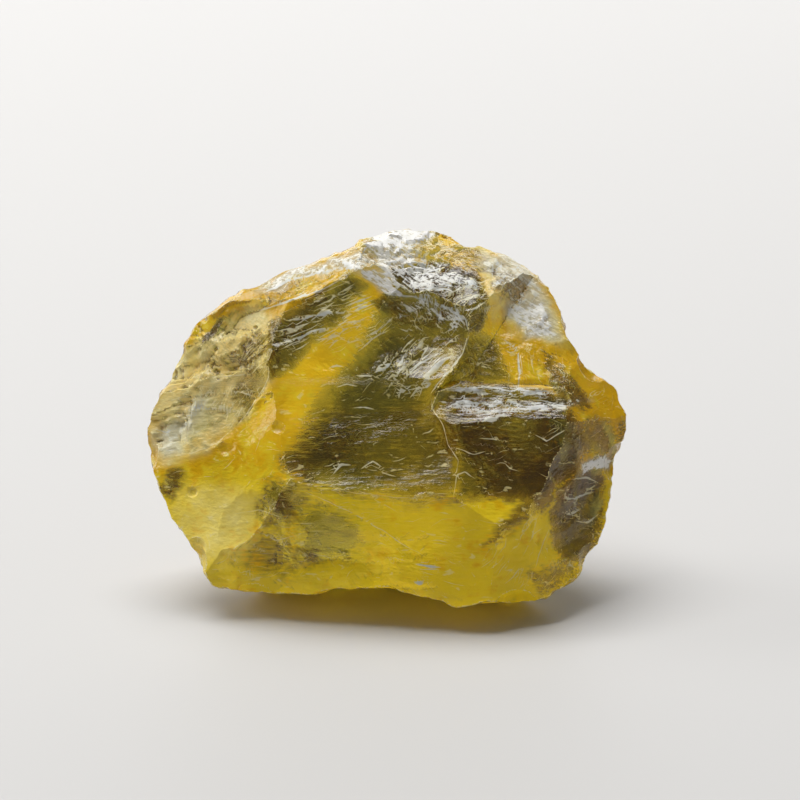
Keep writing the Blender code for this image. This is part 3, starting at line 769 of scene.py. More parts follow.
def hackle_scars(seed: int) -> list[Scar]:
    """Lays out the many short scars of the front.

    Args:
        seed: Settles where they fall.

    Returns:
        The scars.
    """
    dice = random.Random(seed)
    scars = []
    for hackles in HACKLES.values():
        xs, ys = zip(*hackles.outline)
        left = hackles.count
        while left:
            spot = Vector((dice.uniform(min(xs), max(xs)), dice.uniform(min(ys), max(ys))))
            if inside_distance(np.array([spot]), hackles.outline)[0] < 0.0:
                continue
            left -= 1
            way = math.radians(hackles.way + dice.gauss(0.0, hackles.fan))
            half = Vector((math.cos(way), math.sin(way))) * hackles.length * dice.uniform(0.15, 0.5)
            bend = half.orthogonal() * dice.uniform(-0.3, 0.3)
            size = dice.uniform(0.3, 1.0)
            line = (tuple(spot - half), tuple(spot + bend), tuple(spot + half))
            frost = hackles.frost * dice.uniform(0.2, 1.0)
            scars.append(Scar(line, hackles.rise * size, 0.25 + 0.5 * size, frost))
    return scars


def make_object(name: str, bm: bmesh.types.BMesh) -> bpy.types.Object:
    """An object made of a bmesh.

    Args:
        name: The object's name.
        bm: The bmesh, which is freed.

    Returns:
        The object.
    """
    bmesh.ops.recalc_face_normals(bm, faces=bm.faces)
    mesh = bpy.data.meshes.new(name)
    bm.to_mesh(mesh)
    bm.free()
    thing = bpy.data.objects.new(name, mesh)
    bpy.context.scene.collection.objects.link(thing)
    return thing


@dataclass
class Stone:
    """The rough piece of citrine, broken out of its blank by finely shaped blocks. Sizes are in mm."""

    name: str = "citrine_stone"
    step: float = 0.24  # distance between the points of a broken face
    margin: float = 6.0  # how far a block stays fine past what shows of its face
    near: float = 0.15  # how far a corner of the plain solid may be from a face that it lies on
    block_reach: float = 56.0
    block_top: float = 50.0
    ground_side: float = 90.0  # of the block below the ground
    scoop_ripple: float = 0.05  # the height of the rings in a round hollow
    scoop_ripple_length: float = 1.3
    rim_cuts: int = 7  # how finely the blank's rim is cut up
    rim_rounds: int = 4  # how often it is smoothed
    sway: float = 0.25  # how far the scars wander
    seed: int = 11
    nicks: int = 150  # small chips along ridges and the rim
    tries: int = 4000  # how often a place for one is sought
    small_nick: tuple = (0.35, 1.1)  # least and most radius
    large_nick: tuple = (1.1, 2.2)
    small_share: float = 0.7
    nick_out: tuple = (0.72, 0.86)  # how far their middles stand out, as a share of the radius
    nick_gap: float = 0.15  # least distance between two
    finer_from: float = 0.8  # the radius from which one is made of more faces
    ridge_angle: float = math.radians(28.0)  # how sharp a ridge is that chips
    sharp_angle: float = math.radians(32.0)  # how sharp an edge is that isn't shaded smooth
    slant_from: tuple = (21.4, 22.6)  # the heights between which the streaks go from level to a slant
    gold_from: tuple = (9.0, 17.0)  # the heights between which the pale yellow of the painted low glow goes to gold
    corners: np.ndarray = field(default_factory=lambda: np.zeros((0, 3)))
    scars: list[Scar] = field(default_factory=lambda: [*SCARS.values(), *hackle_scars(HACKLE_SEED)])

    def read_frame(self) -> None:
        """Keeps the corners of the plain solid, in the sketch frame."""
        back = STAND_UP.inverted()
        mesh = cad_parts["citrine"].data
        self.corners = np.array([back @ vert.co for vert in mesh.vertices])

    def swell(
        self, bm: bmesh.types.BMesh, cap: bmesh.types.BMFace, centre: Vector, steps: list
    ) -> bmesh.types.BMFace:
        """Extrudes a cap face step by step, drawing each ring in toward a centre.

        Args:
            bm: The bmesh.
            cap: The face to extrude.
            centre: What the rings are drawn in to.
            steps: The share of the outline that is left and the rise, for each step.

        Returns:
            The cap at the end.
        """
        for share, rise in steps:
            grown = bmesh.ops.extrude_face_region(bm, geom=[cap, *cap.edges])["geom"]
            cap = next(item for item in grown if isinstance(item, bmesh.types.BMFace))
            for vert in cap.verts:
                vert.co.x = centre.x + (vert.co.x - centre.x) * share
                vert.co.y = centre.y + (vert.co.y - centre.y) * share
                vert.co.z += rise
        return cap

    def make_blank(self) -> bpy.types.Object:
        """The unbroken blank, with a rim that is rounded and roughened.

        Returns:
            The blank, in the sketch frame.
        """
        bm = bmesh.new()
        edge = bm.faces.new([bm.verts.new(point) for point in OUTLINE])
        front = self.swell(bm, edge, HEART, SWELL_TO_FRONT)
        back = self.swell(bm, edge, FOOT, SWELL_TO_BACK)
        caps = {vert for cap in (front, back) for vert in cap.verts}
        bmesh.ops.subdivide_edges(bm, edges=bm.edges[:], cuts=self.rim_cuts, use_grid_fill=True)
        rim = [vert for vert in bm.verts if vert not in caps]
        axes = {"use_axis_x": True, "use_axis_y": True, "use_axis_z": True}
        for _ in range(self.rim_rounds):
            bmesh.ops.smooth_vert(bm, verts=rim, factor=0.5, **axes)
        bm.normal_update()
        for vert, lift in zip(rim, layers_at(np.array([vert.co for vert in rim]), RIM_LAYERS)):
            vert.co += vert.normal * float(lift)
        bmesh.ops.triangulate(bm, faces=[face for face in bm.faces if len(face.verts) > 4])
        return make_object(self.name, bm)

    def relief(self, face: Face, reach: float, local: np.ndarray, points: np.ndarray) -> np.ndarray:
        """How high the finely broken face stands over the plane of its points.

        Args:
            face: The face.
            reach: Its reach.
            local: The points in the face's own frame.
            points: The same points in the sketch frame.

        Returns:
            The heights.
        """
        grain = face.how.value
        run = np.hypot(local[:, 0], local[:, 1])
        turn = np.arctan2(local[:, 1], local[:, 0])
        height = bowl_height(face, reach, run)
        drift = noise_at(points, 5.0, 3.0)
        height += grain.wave * layers_at(points, WAVE_LAYERS)
        rings = rings_at(run + 1.6 * drift, grain.ripple_length)
        height += grain.ripple * rings * smooth_step(noise_at(points, 4.0, 7.0), -0.15, 0.3)
        fan = np.stack([turn * 11.0, run * 0.14, np.full(len(run), reach)], axis=1)
        spokes = np.clip(1.0 - 4.0 * np.abs(noise_at(fan, 1.0, 4.0)), 0.0, 1.0)
        height += grain.hackle * spokes * smooth_step(noise_at(points, 3.4, 9.0), -0.1, 0.35)
        if grain.step:
            stretched = points * np.array([0.45, 1.0, 1.0]) + drift[:, None]
            level = layers_at(stretched, TERRACE_LAYERS)
            height += grain.step * (np.floor(level) + smooth_step(level - np.floor(level), 0.78, 1.0))
        return height

    def scar_relief(self, spots: np.ndarray) -> np.ndarray:
        """How far the scars of the front lift spots of it.

        Args:
            spots: X and Y as rows.

        Returns:
            The lifts.
        """
        lift = np.zeros(len(spots))
        sway = self.sway * sway_at(np.c_[spots, spots[:, 0]], 1.6, (1.0, 2.0))
        for scar in self.scars:
            near, away, taper = scar_reach(scar, spots, sway)
            lift[near] += np.where(away > 0.0, scar.rise * taper * np.exp(-np.abs(away) / scar.width), 0.0)
        return lift

    def shown_part(self, face: Face, turned: Matrix, reach: float) -> tuple[np.ndarray, np.ndarray]:
        """The box of what shows of a face on the plain solid, in the face's own frame.

        Args:
            face: The face.
            turned: Its frame.
            reach: Its reach.

        Returns:
            The lowest and the highest X and Y.
        """
        back = np.array(turned.inverted())
        local = self.corners @ back[:3, :3].T + back[:3, 3]
        height = bowl_height(face, reach, np.hypot(local[:, 0], local[:, 1]))
        on_face = local[np.abs(local[:, 2] - height) < self.near]
        return on_face[:, :2].min(axis=0) - self.margin, on_face[:, :2].max(axis=0) + self.margin

    def make_block(
        self, name: str, turned: Matrix, low: np.ndarray, high: np.ndarray, heights: Callable
    ) -> bpy.types.Object:
        """A block with a fine underside between two corners and a coarse one around them.

        Args:
            name: The block's name.
            turned: The frame that it stands in.
            low: The lowest X and Y of the fine part.
            high: The highest X and Y of it.
            heights: Gives the heights of the underside for points in that frame and in the sketch frame.

        Returns:
            The block.
        """
        counts = [max(4, math.ceil((high[axis] - low[axis]) / self.step)) for axis in range(2)]
        bm = bmesh.new()
        bmesh.ops.create_grid(bm, x_segments=counts[0] + 2, y_segments=counts[1] + 2, size=1.0)
        stops = []
        for axis in range(2):
            inner = np.linspace(low[axis], high[axis], counts[axis] + 1)
            stops.append(np.concatenate([[-self.block_reach], inner, [self.block_reach]]))
        local = np.zeros((len(bm.verts), 3))
        for number, vert in enumerate(bm.verts):
            for axis in range(2):
                place = round((vert.co[axis] + 1.0) / 2.0 * (counts[axis] + 2))
                local[number, axis] = stops[axis][place]
        matrix = np.array(turned)
        local[:, 2] = heights(local, local @ matrix[:3, :3].T + matrix[:3, 3])
        for vert, point in zip(bm.verts, local):
            vert.co = point
        rim = [item for item in bm.edges if item.is_boundary]
        grown = bmesh.ops.extrude_edge_only(bm, edges=rim)["geom"]
        for item in grown:
            if isinstance(item, bmesh.types.BMVert):
                item.co.z = self.block_top
        hoop = [item for item in grown if isinstance(item, bmesh.types.BMEdge) and item.is_boundary]
        bmesh.ops.edgeloop_fill(bm, edges=hoop)
        bmesh.ops.transform(bm, matrix=turned, verts=bm.verts)
        return make_object(name, bm)

    def make_striker(self, name: str, face: Face) -> bpy.types.Object:
        """The block that strikes off one broken face.

        Args:
            name: The block's name.
            face: The face.

        Returns:
            The block.
        """
        turned, reach = face_frame(face)
        low, high = self.shown_part(face, turned, reach)
        front = turned.col[2].z > 0.0

        def heights(local: np.ndarray, points: np.ndarray) -> np.ndarray:
            """The underside, at points in the block's own frame and the same in the sketch frame."""
            height = self.relief(face, reach, local, points)
            return height + self.scar_relief(points[:, :2]) if front else height

        return self.make_block(name, turned, low, high, heights)

    def make_scoop(self, name: str, hollow: Hollow) -> bpy.types.Object:
        """The block that leaves a round hollow: its underside is the low end of a ball.

        Args:
            name: The block's name.
            hollow: The hollow.

        Returns:
            The block.
        """
        x, y = hollow.at
        faces, nearest = (BACK_FACES, max) if hollow.behind else (FRONT_FACES, min)
        skins = [skin_height(face, x, y) for face in faces.values()]
        height, out = nearest(skins, key=lambda skin: skin[0])
        turned = frame_at(Vector((x, y, height)), out, out.orthogonal().normalized())
        wide = math.sqrt(2.0 * hollow.radius * hollow.depth) + 2.0 * self.margin
        wide = min(wide, 0.95 * hollow.radius)

        def heights(local: np.ndarray, points: np.ndarray) -> np.ndarray:
            """The underside of the block.

            Args:
                local: Its points in the block's own frame.
                points: The same points in the sketch frame.

            Returns:
                Their heights in the block's own frame.
            """
            run = np.minimum(np.hypot(local[:, 0], local[:, 1]), 0.98 * hollow.radius)
            ball = hollow.radius - hollow.depth - np.sqrt(hollow.radius**2 - run**2)
            rings = rings_at(run + 1.5 * noise_at(points, 3.0, 5.0), self.scoop_ripple_length)
            fine = self.scoop_ripple * rings * smooth_step(noise_at(points, 3.0, 2.0), -0.1, 0.3)
            fine += layers_at(points, HOLLOW_LAYERS)
            return ball + fine + (0.0 if hollow.behind else self.scar_relief(points[:, :2]))

        reach = np.array([wide, wide])
        keep, self.block_reach = self.block_reach, wide + self.margin
        block = self.make_block(name, turned, -reach, reach, heights)
        self.block_reach = keep
        return block

    def make_ball(self, name: str, centre: Vector, radius: float) -> bpy.types.Object:
        """A ball with a slightly uneven skin.

        Args:
            name: The ball's name.
            centre: Its middle.
            radius: Its radius.

        Returns:
            The ball.
        """
        bm = bmesh.new()
        around = max(24, math.ceil(2.0 * math.pi * radius / (1.4 * self.step)))
        place = Matrix.Translation(centre)
        counts = {"u_segments": around, "v_segments": around // 2}
        bmesh.ops.create_uvsphere(bm, radius=radius, matrix=place, **counts)
        for vert, lift in zip(bm.verts, layers_at(np.array([vert.co for vert in bm.verts]), CHIP_LAYERS)):
            vert.co += (vert.co - centre).normalized() * float(lift)
        return make_object(name, bm)

    def chip_centre(self, chip: Chip) -> Vector:
        """The middle of the ball that leaves a chip.

        Args:
            chip: The chip.

        Returns:
            The middle, in the sketch frame.
        """
        corner = Vector(OUTLINE[chip.corner])
        out = Vector((corner.x - HEART.x, corner.y - HEART.y, 0.0)).normalized()
        out.z = chip.tilt
        return corner + out.normalized() * (chip.radius - chip.depth)

    def make_ground(self) -> bpy.types.Object:
        """The block below the ground, which leaves the flat that the stone rests on.

        Returns:
            The block.
        """
        side = self.ground_side * MM
        bm = bmesh.new()
        place = STAND_UP.inverted() @ Matrix.Translation((0.0, 0.0, -side / 2.0))
        bmesh.ops.create_cube(bm, size=side, matrix=place)
        return make_object("ground", bm)

    def carve(
        self, stone: bpy.types.Object, cutter: bpy.types.Object, operation: str = "DIFFERENCE"
    ) -> None:
        """Cuts one object by another, and takes the cutter away.

        Args:
            stone: What is cut.
            cutter: What cuts it.
            operation: The kind of cut.
        """
        modifier = stone.modifiers.new(cutter.name, "BOOLEAN")
        modifier.operation = operation
        modifier.solver = "MANIFOLD"
        modifier.object = cutter
        depsgraph = bpy.context.evaluated_depsgraph_get()
        mesh = bpy.data.meshes.new_from_object(stone.evaluated_get(depsgraph))
        stone.modifiers.clear()
        old, stone.data = stone.data, mesh
        bpy.data.meshes.remove(old)
        used = cutter.data
        bpy.data.objects.remove(cutter)
        bpy.data.meshes.remove(used)

    def ridge_spots(self, stone: bpy.types.Object) -> list[tuple[Vector, Vector]]:
        """Finds the stone's sharp outward ridges.

        Args:
            stone: The stone.

        Returns:
            Points on them, each with the direction that it looks in.
        """
        bm = bmesh.new()
        bm.from_mesh(stone.data)
        bm.normal_update()
        spots = []
        for edge in bm.edges:
            if edge.calc_face_angle_signed() > self.ridge_angle:
                out = (edge.link_faces[0].normal + edge.link_faces[1].normal).normalized()
                spots.append(((edge.verts[0].co + edge.verts[1].co) / 2.0, out))
        bm.free()
        return spots

    def make_nicks(self, stone: bpy.types.Object) -> bpy.types.Object:
        """Small balls along the ridges, none of which touch, as one cutter.

        Args:
            stone: The stone that they nick.

        Returns:
            The cutter.
        """
        spots = self.ridge_spots(stone)
        tree = KDTree(len(spots))
        for number, (spot, _) in enumerate(spots):
            tree.insert(spot, number)
        tree.balance()
        low, high = self.corners.min(axis=0), self.corners.max(axis=0)
        dice = random.Random(self.seed)
        bm = bmesh.new()
        placed: list[tuple[Vector, float]] = []
        for _ in range(self.tries):
            # the dice fall the same way whatever the order of the mesh's edges is
            sought = Vector([dice.uniform(least, most) for least, most in zip(low, high)])
            sizes = self.small_nick if dice.random() < self.small_share else self.large_nick
            radius = dice.uniform(*sizes)
            share = dice.uniform(*self.nick_out)
            stretch = Matrix.Diagonal((1.0, dice.uniform(0.7, 1.0), dice.uniform(0.7, 1.0), 1.0))
            spot, number, _ = tree.find(sought)
            centre = spot + spots[number][1] * radius * share
            if any((centre - other).length < radius + size + self.nick_gap for other, size in placed):
                continue
            placed.append((centre, radius))
            rounds = 3 if radius > self.finer_from else 2
            ball = bmesh.ops.create_icosphere(bm, subdivisions=rounds, radius=radius)["verts"]
            bmesh.ops.transform(bm, matrix=Matrix.Translation(centre) @ stretch, verts=ball)
            if len(placed) >= self.nicks:
                break
        log.info("%d small chips", len(placed))
        return make_object("nicks", bm)

    def build(self) -> bpy.types.Object:
        """Breaks the stone out of its blank.

        Returns:
            The stone, in the row frame.
        """
        self.read_frame()
        stone = self.make_blank()
        for name, face in {**FRONT_FACES, **BACK_FACES}.items():
            self.carve(stone, self.make_striker(name, face))
            log.info("%s: %d faces", name, len(stone.data.polygons))
        for name, faces in NOTCHES.items():
            notch = self.make_striker(name, faces[0])
            for face in faces[1:]:
                self.carve(notch, self.make_striker(f"{name} side", face), "INTERSECT")
            self.carve(stone, notch)
        for name, hollow in HOLLOWS.items():
            self.carve(stone, self.make_scoop(name, hollow))
        for name, (centre, radius) in UNDER_HOLLOWS.items():
            self.carve(stone, self.make_ball(name, Vector(centre), radius))
        for name, chip in CHIPS.items():
            self.carve(stone, self.make_ball(name, self.chip_centre(chip), chip.radius))
        self.carve(stone, self.make_nicks(stone))
        self.carve(stone, self.make_ground())
        self.finish_mesh(stone)
        return stone

    def finish_mesh(self, stone: bpy.types.Object) -> None:
        """Notes where the stone is smoky or darkened with painted shade, frosted and cloudy, and stands it
        up.

        Args:
            stone: The stone, in the sketch frame.
        """
        bm = bmesh.new()
        bm.from_mesh(stone.data)
        bm.normal_update()
        bm.verts.index_update()
        bends = self.bends(bm)
        open_edges = sum(len(edge.link_faces) != 2 for edge in bm.edges)
        log.info("stone: %d faces, %d open edges", len(bm.faces), open_edges)
        points = np.array([vert.co for vert in bm.verts])
        looks = np.array([vert.normal for vert in bm.verts])
        bm.to_mesh(stone.data)
        bm.free()
        for name, values in self.tones(points, looks, bends).items():
            attribute = stone.data.attributes.new(name, "FLOAT", "POINT")
            attribute.data.foreach_set("value", values.astype(np.float32))
        stone.data.transform(STAND_UP)
        stone.data.shade_smooth()
        stone.data.set_sharp_from_angle(angle=self.sharp_angle)

    def bends(self, bm: bmesh.types.BMesh) -> np.ndarray:
        """How sharply the surface bends at each point.

        Args:
            bm: The stone.

        Returns:
            The mean angle of the edges there, in radians: above zero on ridges, below it in creases.
        """
        pairs = np.array([[edge.verts[0].index, edge.verts[1].index] for edge in bm.edges])
        angles = np.array([edge.calc_face_angle_signed(0.0) for edge in bm.edges])
        lengths = np.array([edge.calc_length() for edge in bm.edges])
        points = len(bm.verts)
        total = np.bincount(pairs.ravel(), np.repeat(lengths, 2), points)
        bend = np.bincount(pairs.ravel(), np.repeat(angles * lengths, 2), points) / np.maximum(total, 1e-6)
        one, other = pairs.T
        spread = np.bincount(one, bend[other], points) + np.bincount(other, bend[one], points)
        return 0.6 * bend + 0.4 * spread / np.maximum(np.bincount(pairs.ravel(), minlength=points), 1)

    def tones(self, points: np.ndarray, looks: np.ndarray, bends: np.ndarray) -> dict[str, np.ndarray]:
        """How smoky or darkened with painted shade, frosted and cloudy the stone is, and the other values
        that its finish reads.

        Args:
            points: The stone's points in the sketch frame.
            looks: Their normals.
            bends: How sharply the surface bends at them.

        Returns:
            One value for each point, by the value's name.
        """
        front = smooth_step(looks[:, 2], -0.1, 0.25)
        sway = sway_at(points, 2.6, (1.0, 2.0)) + 0.5 * sway_at(points, 0.9, (3.0, 4.0))
        found = {tone: np.zeros(len(points)) for tone in Tone}
        for zone in ZONES.values():
            depth = inside_distance(points[:, :2] + zone.ragged * sway, zone.outline)
            part = zone.strength * smooth_step(depth, -zone.soft, zone.soft) * front
            found[zone.tone] = np.maximum(found[zone.tone], part)
        scarred, strength = np.ones(len(points)), np.zeros(len(points))
        for scar in self.scars:
            near, away, taper = scar_reach(scar, points[:, :2], 0.15 * sway)
            closer = np.abs(away) < np.abs(scarred[near])
            scarred[near[closer]] = away[closer]
            strength[near[closer]] = (scar.frost * taper * front[near])[closer]
        patches = layers_at(points, PATCH_LAYERS)
        behind = 1.0 - front
        found[Tone.SMOKE] += behind * 0.5 * smooth_step(patches, -0.15, 0.35)
        found[Tone.CLOUD] += behind * 0.3 * smooth_step(-patches, 0.0, 0.4)
        named = {tone.value: values for tone, values in found.items()}
        named |= {"bend": bends, "scar": scarred, "scarred": strength, "front": front}
        named["slant"] = smooth_step(points[:, 1], *self.slant_from)
        named["high"] = smooth_step(points[:, 1], *self.gold_from)
        return named


class Number:
    """A number socket of a material's nodes that takes part in sums."""

    def __init__(self, tree: "Nodes", socket: bpy.types.NodeSocket) -> None:
        """Keeps the tree and the socket.

        Args:
            tree: The tree of nodes.
            socket: The output socket that holds the number.
        """
        self.tree = tree
        self.socket = socket

    def __add__(self, other: "Number | float") -> "Number":
        """Adds."""
        return self.tree.math("ADD", self, other)

    __radd__ = __add__

    def __sub__(self, other: "Number | float") -> "Number":
        """Takes away."""
        return self.tree.math("SUBTRACT", self, other)

    def __rsub__(self, other: float) -> "Number":
        """Is taken away from a number."""
        return self.tree.math("SUBTRACT", other, self)

    def __mul__(self, other: "Number | float") -> "Number":
        """Multiplies."""
        return self.tree.math("MULTIPLY", self, other)

    __rmul__ = __mul__

    def clamped(self) -> "Number":
        """The number, held between 0 and 1."""
        return self.tree.math("MINIMUM", self.tree.math("MAXIMUM", self, 0.0), 1.0)

    def between(self, low: float, high: float) -> "Number":
        """A soft step.

        Args:
            low: Where it starts from 0.
            high: Where it reaches 1.

        Returns:
            The stepped number.
        """
        settings = {"interpolation_type": "SMOOTHSTEP"}
        values = {"Value": self, "From Min": low, "From Max": high}
        return Number(self.tree, self.tree.node("ShaderNodeMapRange", settings, values).outputs["Result"])


class Nodes:
    """The nodes of one material."""

    def __init__(self, name: str) -> None:
        """Starts an empty material.

        Args:
            name: The material's name.
        """
        self.material = bpy.data.materials.new(name)
        self.material.use_nodes = True
        self.tree = self.material.node_tree
        self.tree.nodes.clear()

    def node(self, kind: str, settings: dict | None = None, values: dict | None = None) -> bpy.types.Node:
        """Adds a node.

        Args:
            kind: The node's type.
            settings: Its own settings, which are set first.
            values: A value or a link for each of its input sockets, by name or number.

        Returns:
            The node.
        """
        made = self.tree.nodes.new(kind)
        for name, value in (settings or {}).items():
            setattr(made, name, value)
        for name, value in (values or {}).items():
            if isinstance(value, Number):
                value = value.socket
            if isinstance(value, bpy.types.NodeSocket):
                self.tree.links.new(value, made.inputs[name])
            else:
                made.inputs[name].default_value = value
        return made

    def math(self, operation: str, one: Number | float, other: Number | float = 0.0) -> Number:
        """A sum of two numbers, or of one.

        Args:
            operation: The Math node's operation.
            one: The first number.
            other: The second number, which some operations don't use.

        Returns:
            The result.
        """
        made = self.node("ShaderNodeMath", {"operation": operation}, {0: one, 1: other})
        return Number(self, made.outputs[0])

    def attribute(self, name: str) -> Number:
        """A number that the mesh holds for each point."""
        return Number(self, self.node("ShaderNodeAttribute", {"attribute_name": name}).outputs["Fac"])

    def noise(
        self,
        scale: float,
        detail: float = 3.0,
        stretch: tuple = (1.0, 1.0, 1.0),
        turn: Number | None = None,
    ) -> Number:
        """Noise over the stone, from 0 to 1.

        Args:
            scale: How many of its lumps lie along a metre.
            detail: How many finer layers it has.
            stretch: How much finer it is along X, Y and Z.
            turn: How far it is turned about Y before that.

        Returns:
            The noise.
        """
        place = self.node("ShaderNodeTexCoord").outputs["Object"]
        if turn:
            angles = self.node("ShaderNodeCombineXYZ", None, {"Y": turn}).outputs["Vector"]
            place = self.node("ShaderNodeMapping", None, {"Vector": place, "Rotation": angles}).outputs[0]
        place = self.node("ShaderNodeMapping", None, {"Vector": place, "Scale": stretch}).outputs[0]
        values = {"Vector": place, "Scale": scale, "Detail": detail}
        return Number(self, self.node("ShaderNodeTexNoise", None, values).outputs["Fac"])

    def blend(
        self, share: Number, one: tuple | bpy.types.NodeSocket, other: tuple | bpy.types.NodeSocket
    ) -> bpy.types.NodeSocket:
        """A colour between two.

        Args:
            share: How much there is of the second.
            one: The first colour or its link.
            other: The second colour or its link.

        Returns:
            The colour's socket.
        """
        # sockets 6 and 7 are the two colours, and output 2 is the colour between them
        values = {"Factor": share, 6: one, 7: other}
        return self.node("ShaderNodeMix", {"data_type": "RGBA"}, values).outputs[2]

    def principled(self, values: dict) -> bpy.types.NodeSocket:
        """A Principled shader with these values or links."""
        return self.node("ShaderNodeBsdfPrincipled", None, values).outputs["BSDF"]

    def mixed(
        self, share: Number, one: bpy.types.NodeSocket, other: bpy.types.NodeSocket
    ) -> bpy.types.NodeSocket:
        """A shader that holds this share of the other."""
        return self.node("ShaderNodeMixShader", None, {0: share, 1: one, 2: other}).outputs[0]


@dataclass(frozen=True)
class CitrineFinish:
    """Clear yellow quartz, a little smoky and darkened with painted shade in its windows, cloudy in places,
    with a painted glow of milk low down and painted glints, and frosted where it is bruised.
    """

    clear: tuple = (1.0, 0.80, 0.18, 1.0)
    deep: tuple = (0.93, 0.66, 0.09, 1.0)
    olive: tuple = (0.46, 0.42, 0.13, 1.0)  # where it is a little smoky, or lightly darkened with painted shade
    # the darkest tint of the windows and creases: a little smoke, mostly painted shade
    smoke_and_shade: tuple = (0.036, 0.036, 0.017, 1.0)
    body: tuple = (0.985, 0.925, 0.08, 1.0)  # what the inside lets through
    density: float = 110.0
    ior: float = 1.55
    polish: float = 0.03  # roughness of the clear parts
    cloudy: float = 0.3  # and how much more the cloudy ones have
    honey: tuple = (0.92, 0.55, 0.002, 1.0)  # milk in the upper half
    glow_straw: tuple = (1.0, 0.75, 0.02, 1.0)  # and in the lower, where it is partly a painted glow
    pale: tuple = (0.93, 0.85, 0.42, 1.0)  # in clouds
    shaded_milk: tuple = (0.33, 0.29, 0.06, 1.0)  # milk in smoke and painted shade
    mist: tuple = (0.60, 0.58, 0.46, 1.0)  # under frost
    milk: float = 0.52  # how much of the yellow zones is milky
    low_glow_milk: float = 0.24  # how much more of it is in the lower half: a painted glow
    milk_roughness: float = 0.22
    milk_sheen: float = 0.15
    white: tuple = (0.86, 0.85, 0.81, 1.0)
    grey: tuple = (0.60, 0.62, 0.58, 1.0)
    # pale marks on the yellow: rubbed powder, and the painted highlights of scar lines and glints
    cream_wear_and_glint: tuple = (0.88, 0.76, 0.32, 1.0)
    chalk_roughness: float = 0.5
    bump: float = 0.34
    bump_height: float = 0.0002  # metres
    rings: float = 60.0  # how many ripples there are
    slant: float = math.radians(-38.0)  # of the streaks in the upper half, from level

    def material(self) -> bpy.types.Material:
        """Makes the material.

        Returns:
            The material.
        """
        nodes = Nodes("citrine_finish")
        names = ("smoke_and_shade", "frost", "cloud", "bend", "front", "high", "scar", "scarred")
        smoke_and_shade, frost, cloud, bend, front, high, scar, scarred = map(nodes.attribute, names)
        wear = bend.between(0.05, 0.5)
        # painted shade: the surface is darkened in its creases
        crease_shade = (0.0 - bend).between(0.04, 0.4)
        coarse = nodes.noise(380.0)
        mottle = nodes.noise(900.0, 4.0)
        fine = nodes.noise(2600.0, 4.0, (1.0, 1.0, 1.6))
        streaks = nodes.noise(3200.0, 3.0, (0.16, 1.0, 1.2), nodes.attribute("slant") * self.slant)
        flow = nodes.noise(240.0, 2.0, (0.5, 1.0, 1.0))
        rings = nodes.math("SINE", self.rings * flow + 3.0 * mottle)
        uneven = 1.7 * (mottle - 0.5) + 1.1 * (streaks - 0.5)
        drawn = 0.6 * (mottle - 0.5) + 1.3 * (streaks - 0.5) + 0.5 * (coarse - 0.5)
        height = fine + 0.6 * coarse + streaks + 0.12 * rings
        values = {"Strength": self.bump, "Distance": self.bump_height, "Height": height}
        common = {"IOR": self.ior, "Normal": nodes.node("ShaderNodeBump", None, values).outputs["Normal"]}

        # The clear stone, with its smoke and the painted shade of its windows and creases.
        # darkened toward the smoke colour in the windows, where this is mostly painted shade of the dark
        # ground seen through them, and in creases
        smoke_and_shade_here = (1.1 * smoke_and_shade - 0.05 + 0.7 * drawn).clamped() * (4.0 * smoke_and_shade).clamped()
        smoke_and_shade_here = (smoke_and_shade_here + 0.35 * crease_shade * (0.5 + mottle) + 0.2 * frost).clamped()
        tint = nodes.blend(mottle.between(0.35, 0.65), self.deep, self.clear)
        tint = nodes.blend((2.2 * smoke_and_shade_here).clamped(), tint, self.olive)
        tint = nodes.blend(smoke_and_shade_here, tint, self.smoke_and_shade)
        hazy = (cloud * (0.5 + coarse) + 0.12 * wear + 0.25 * frost).clamped()
        glass = {"Base Color": tint, "Roughness": self.polish + self.cloudy * hazy}
        glass = nodes.principled({"Transmission Weight": 1.0} | glass | common)

        # The milk in it: pale yellow low down, gold higher up. The paler, milkier yellow low down is partly
        # a painted glow of the light that the base sends up.
        lemon_glow = coarse + 0.45 * uneven + 0.2 - 0.34 * high
        milk = nodes.blend(lemon_glow.between(0.35, 0.65), self.honey, self.glow_straw)
        milk = nodes.blend((cloud * (0.2 + 2.0 * coarse + 0.6 * uneven)).clamped(), milk, self.pale)
        milk = nodes.blend((1.5 * smoke_and_shade_here).clamped(), milk, self.shaded_milk)
        milk = nodes.blend((1.5 * frost).clamped(), milk, self.mist)
        milky = {"Base Color": milk, "Roughness": self.milk_roughness}
        milky = nodes.principled({"Specular IOR Level": self.milk_sheen} | milky | common)
        milkiness = self.milk * (0.3 + 0.7 * front) + 0.3 * cloud + 0.4 * frost
        # painted glow: more pale milk low on the front, in place of the light that the base sends up
        milkiness = milkiness + self.low_glow_milk * (1.0 - high) * front
        clouded = nodes.math("MAXIMUM", milkiness * (1.0 - 1.6 * smoke_and_shade_here), 0.0)
        stone = nodes.mixed(clouded, glass, milky)

        # The white bruises and scars on it, with the scars' lines partly painted highlight, and painted
        # glints along the ripples.
        bruise = (frost + 0.6 * wear).clamped()
        reach = 0.14 * scarred * (3.2 * mottle - 0.7)
        line = (reach - nodes.math("ABSOLUTE", scar)).between(-0.02, 0.03)
        broken = 0.6 * streaks + 0.25 * mottle + 0.15 * fine
        powder = (broken + 0.42 * bruise - 0.74).between(-0.02, 0.035) * (6.0 * bruise).clamped()
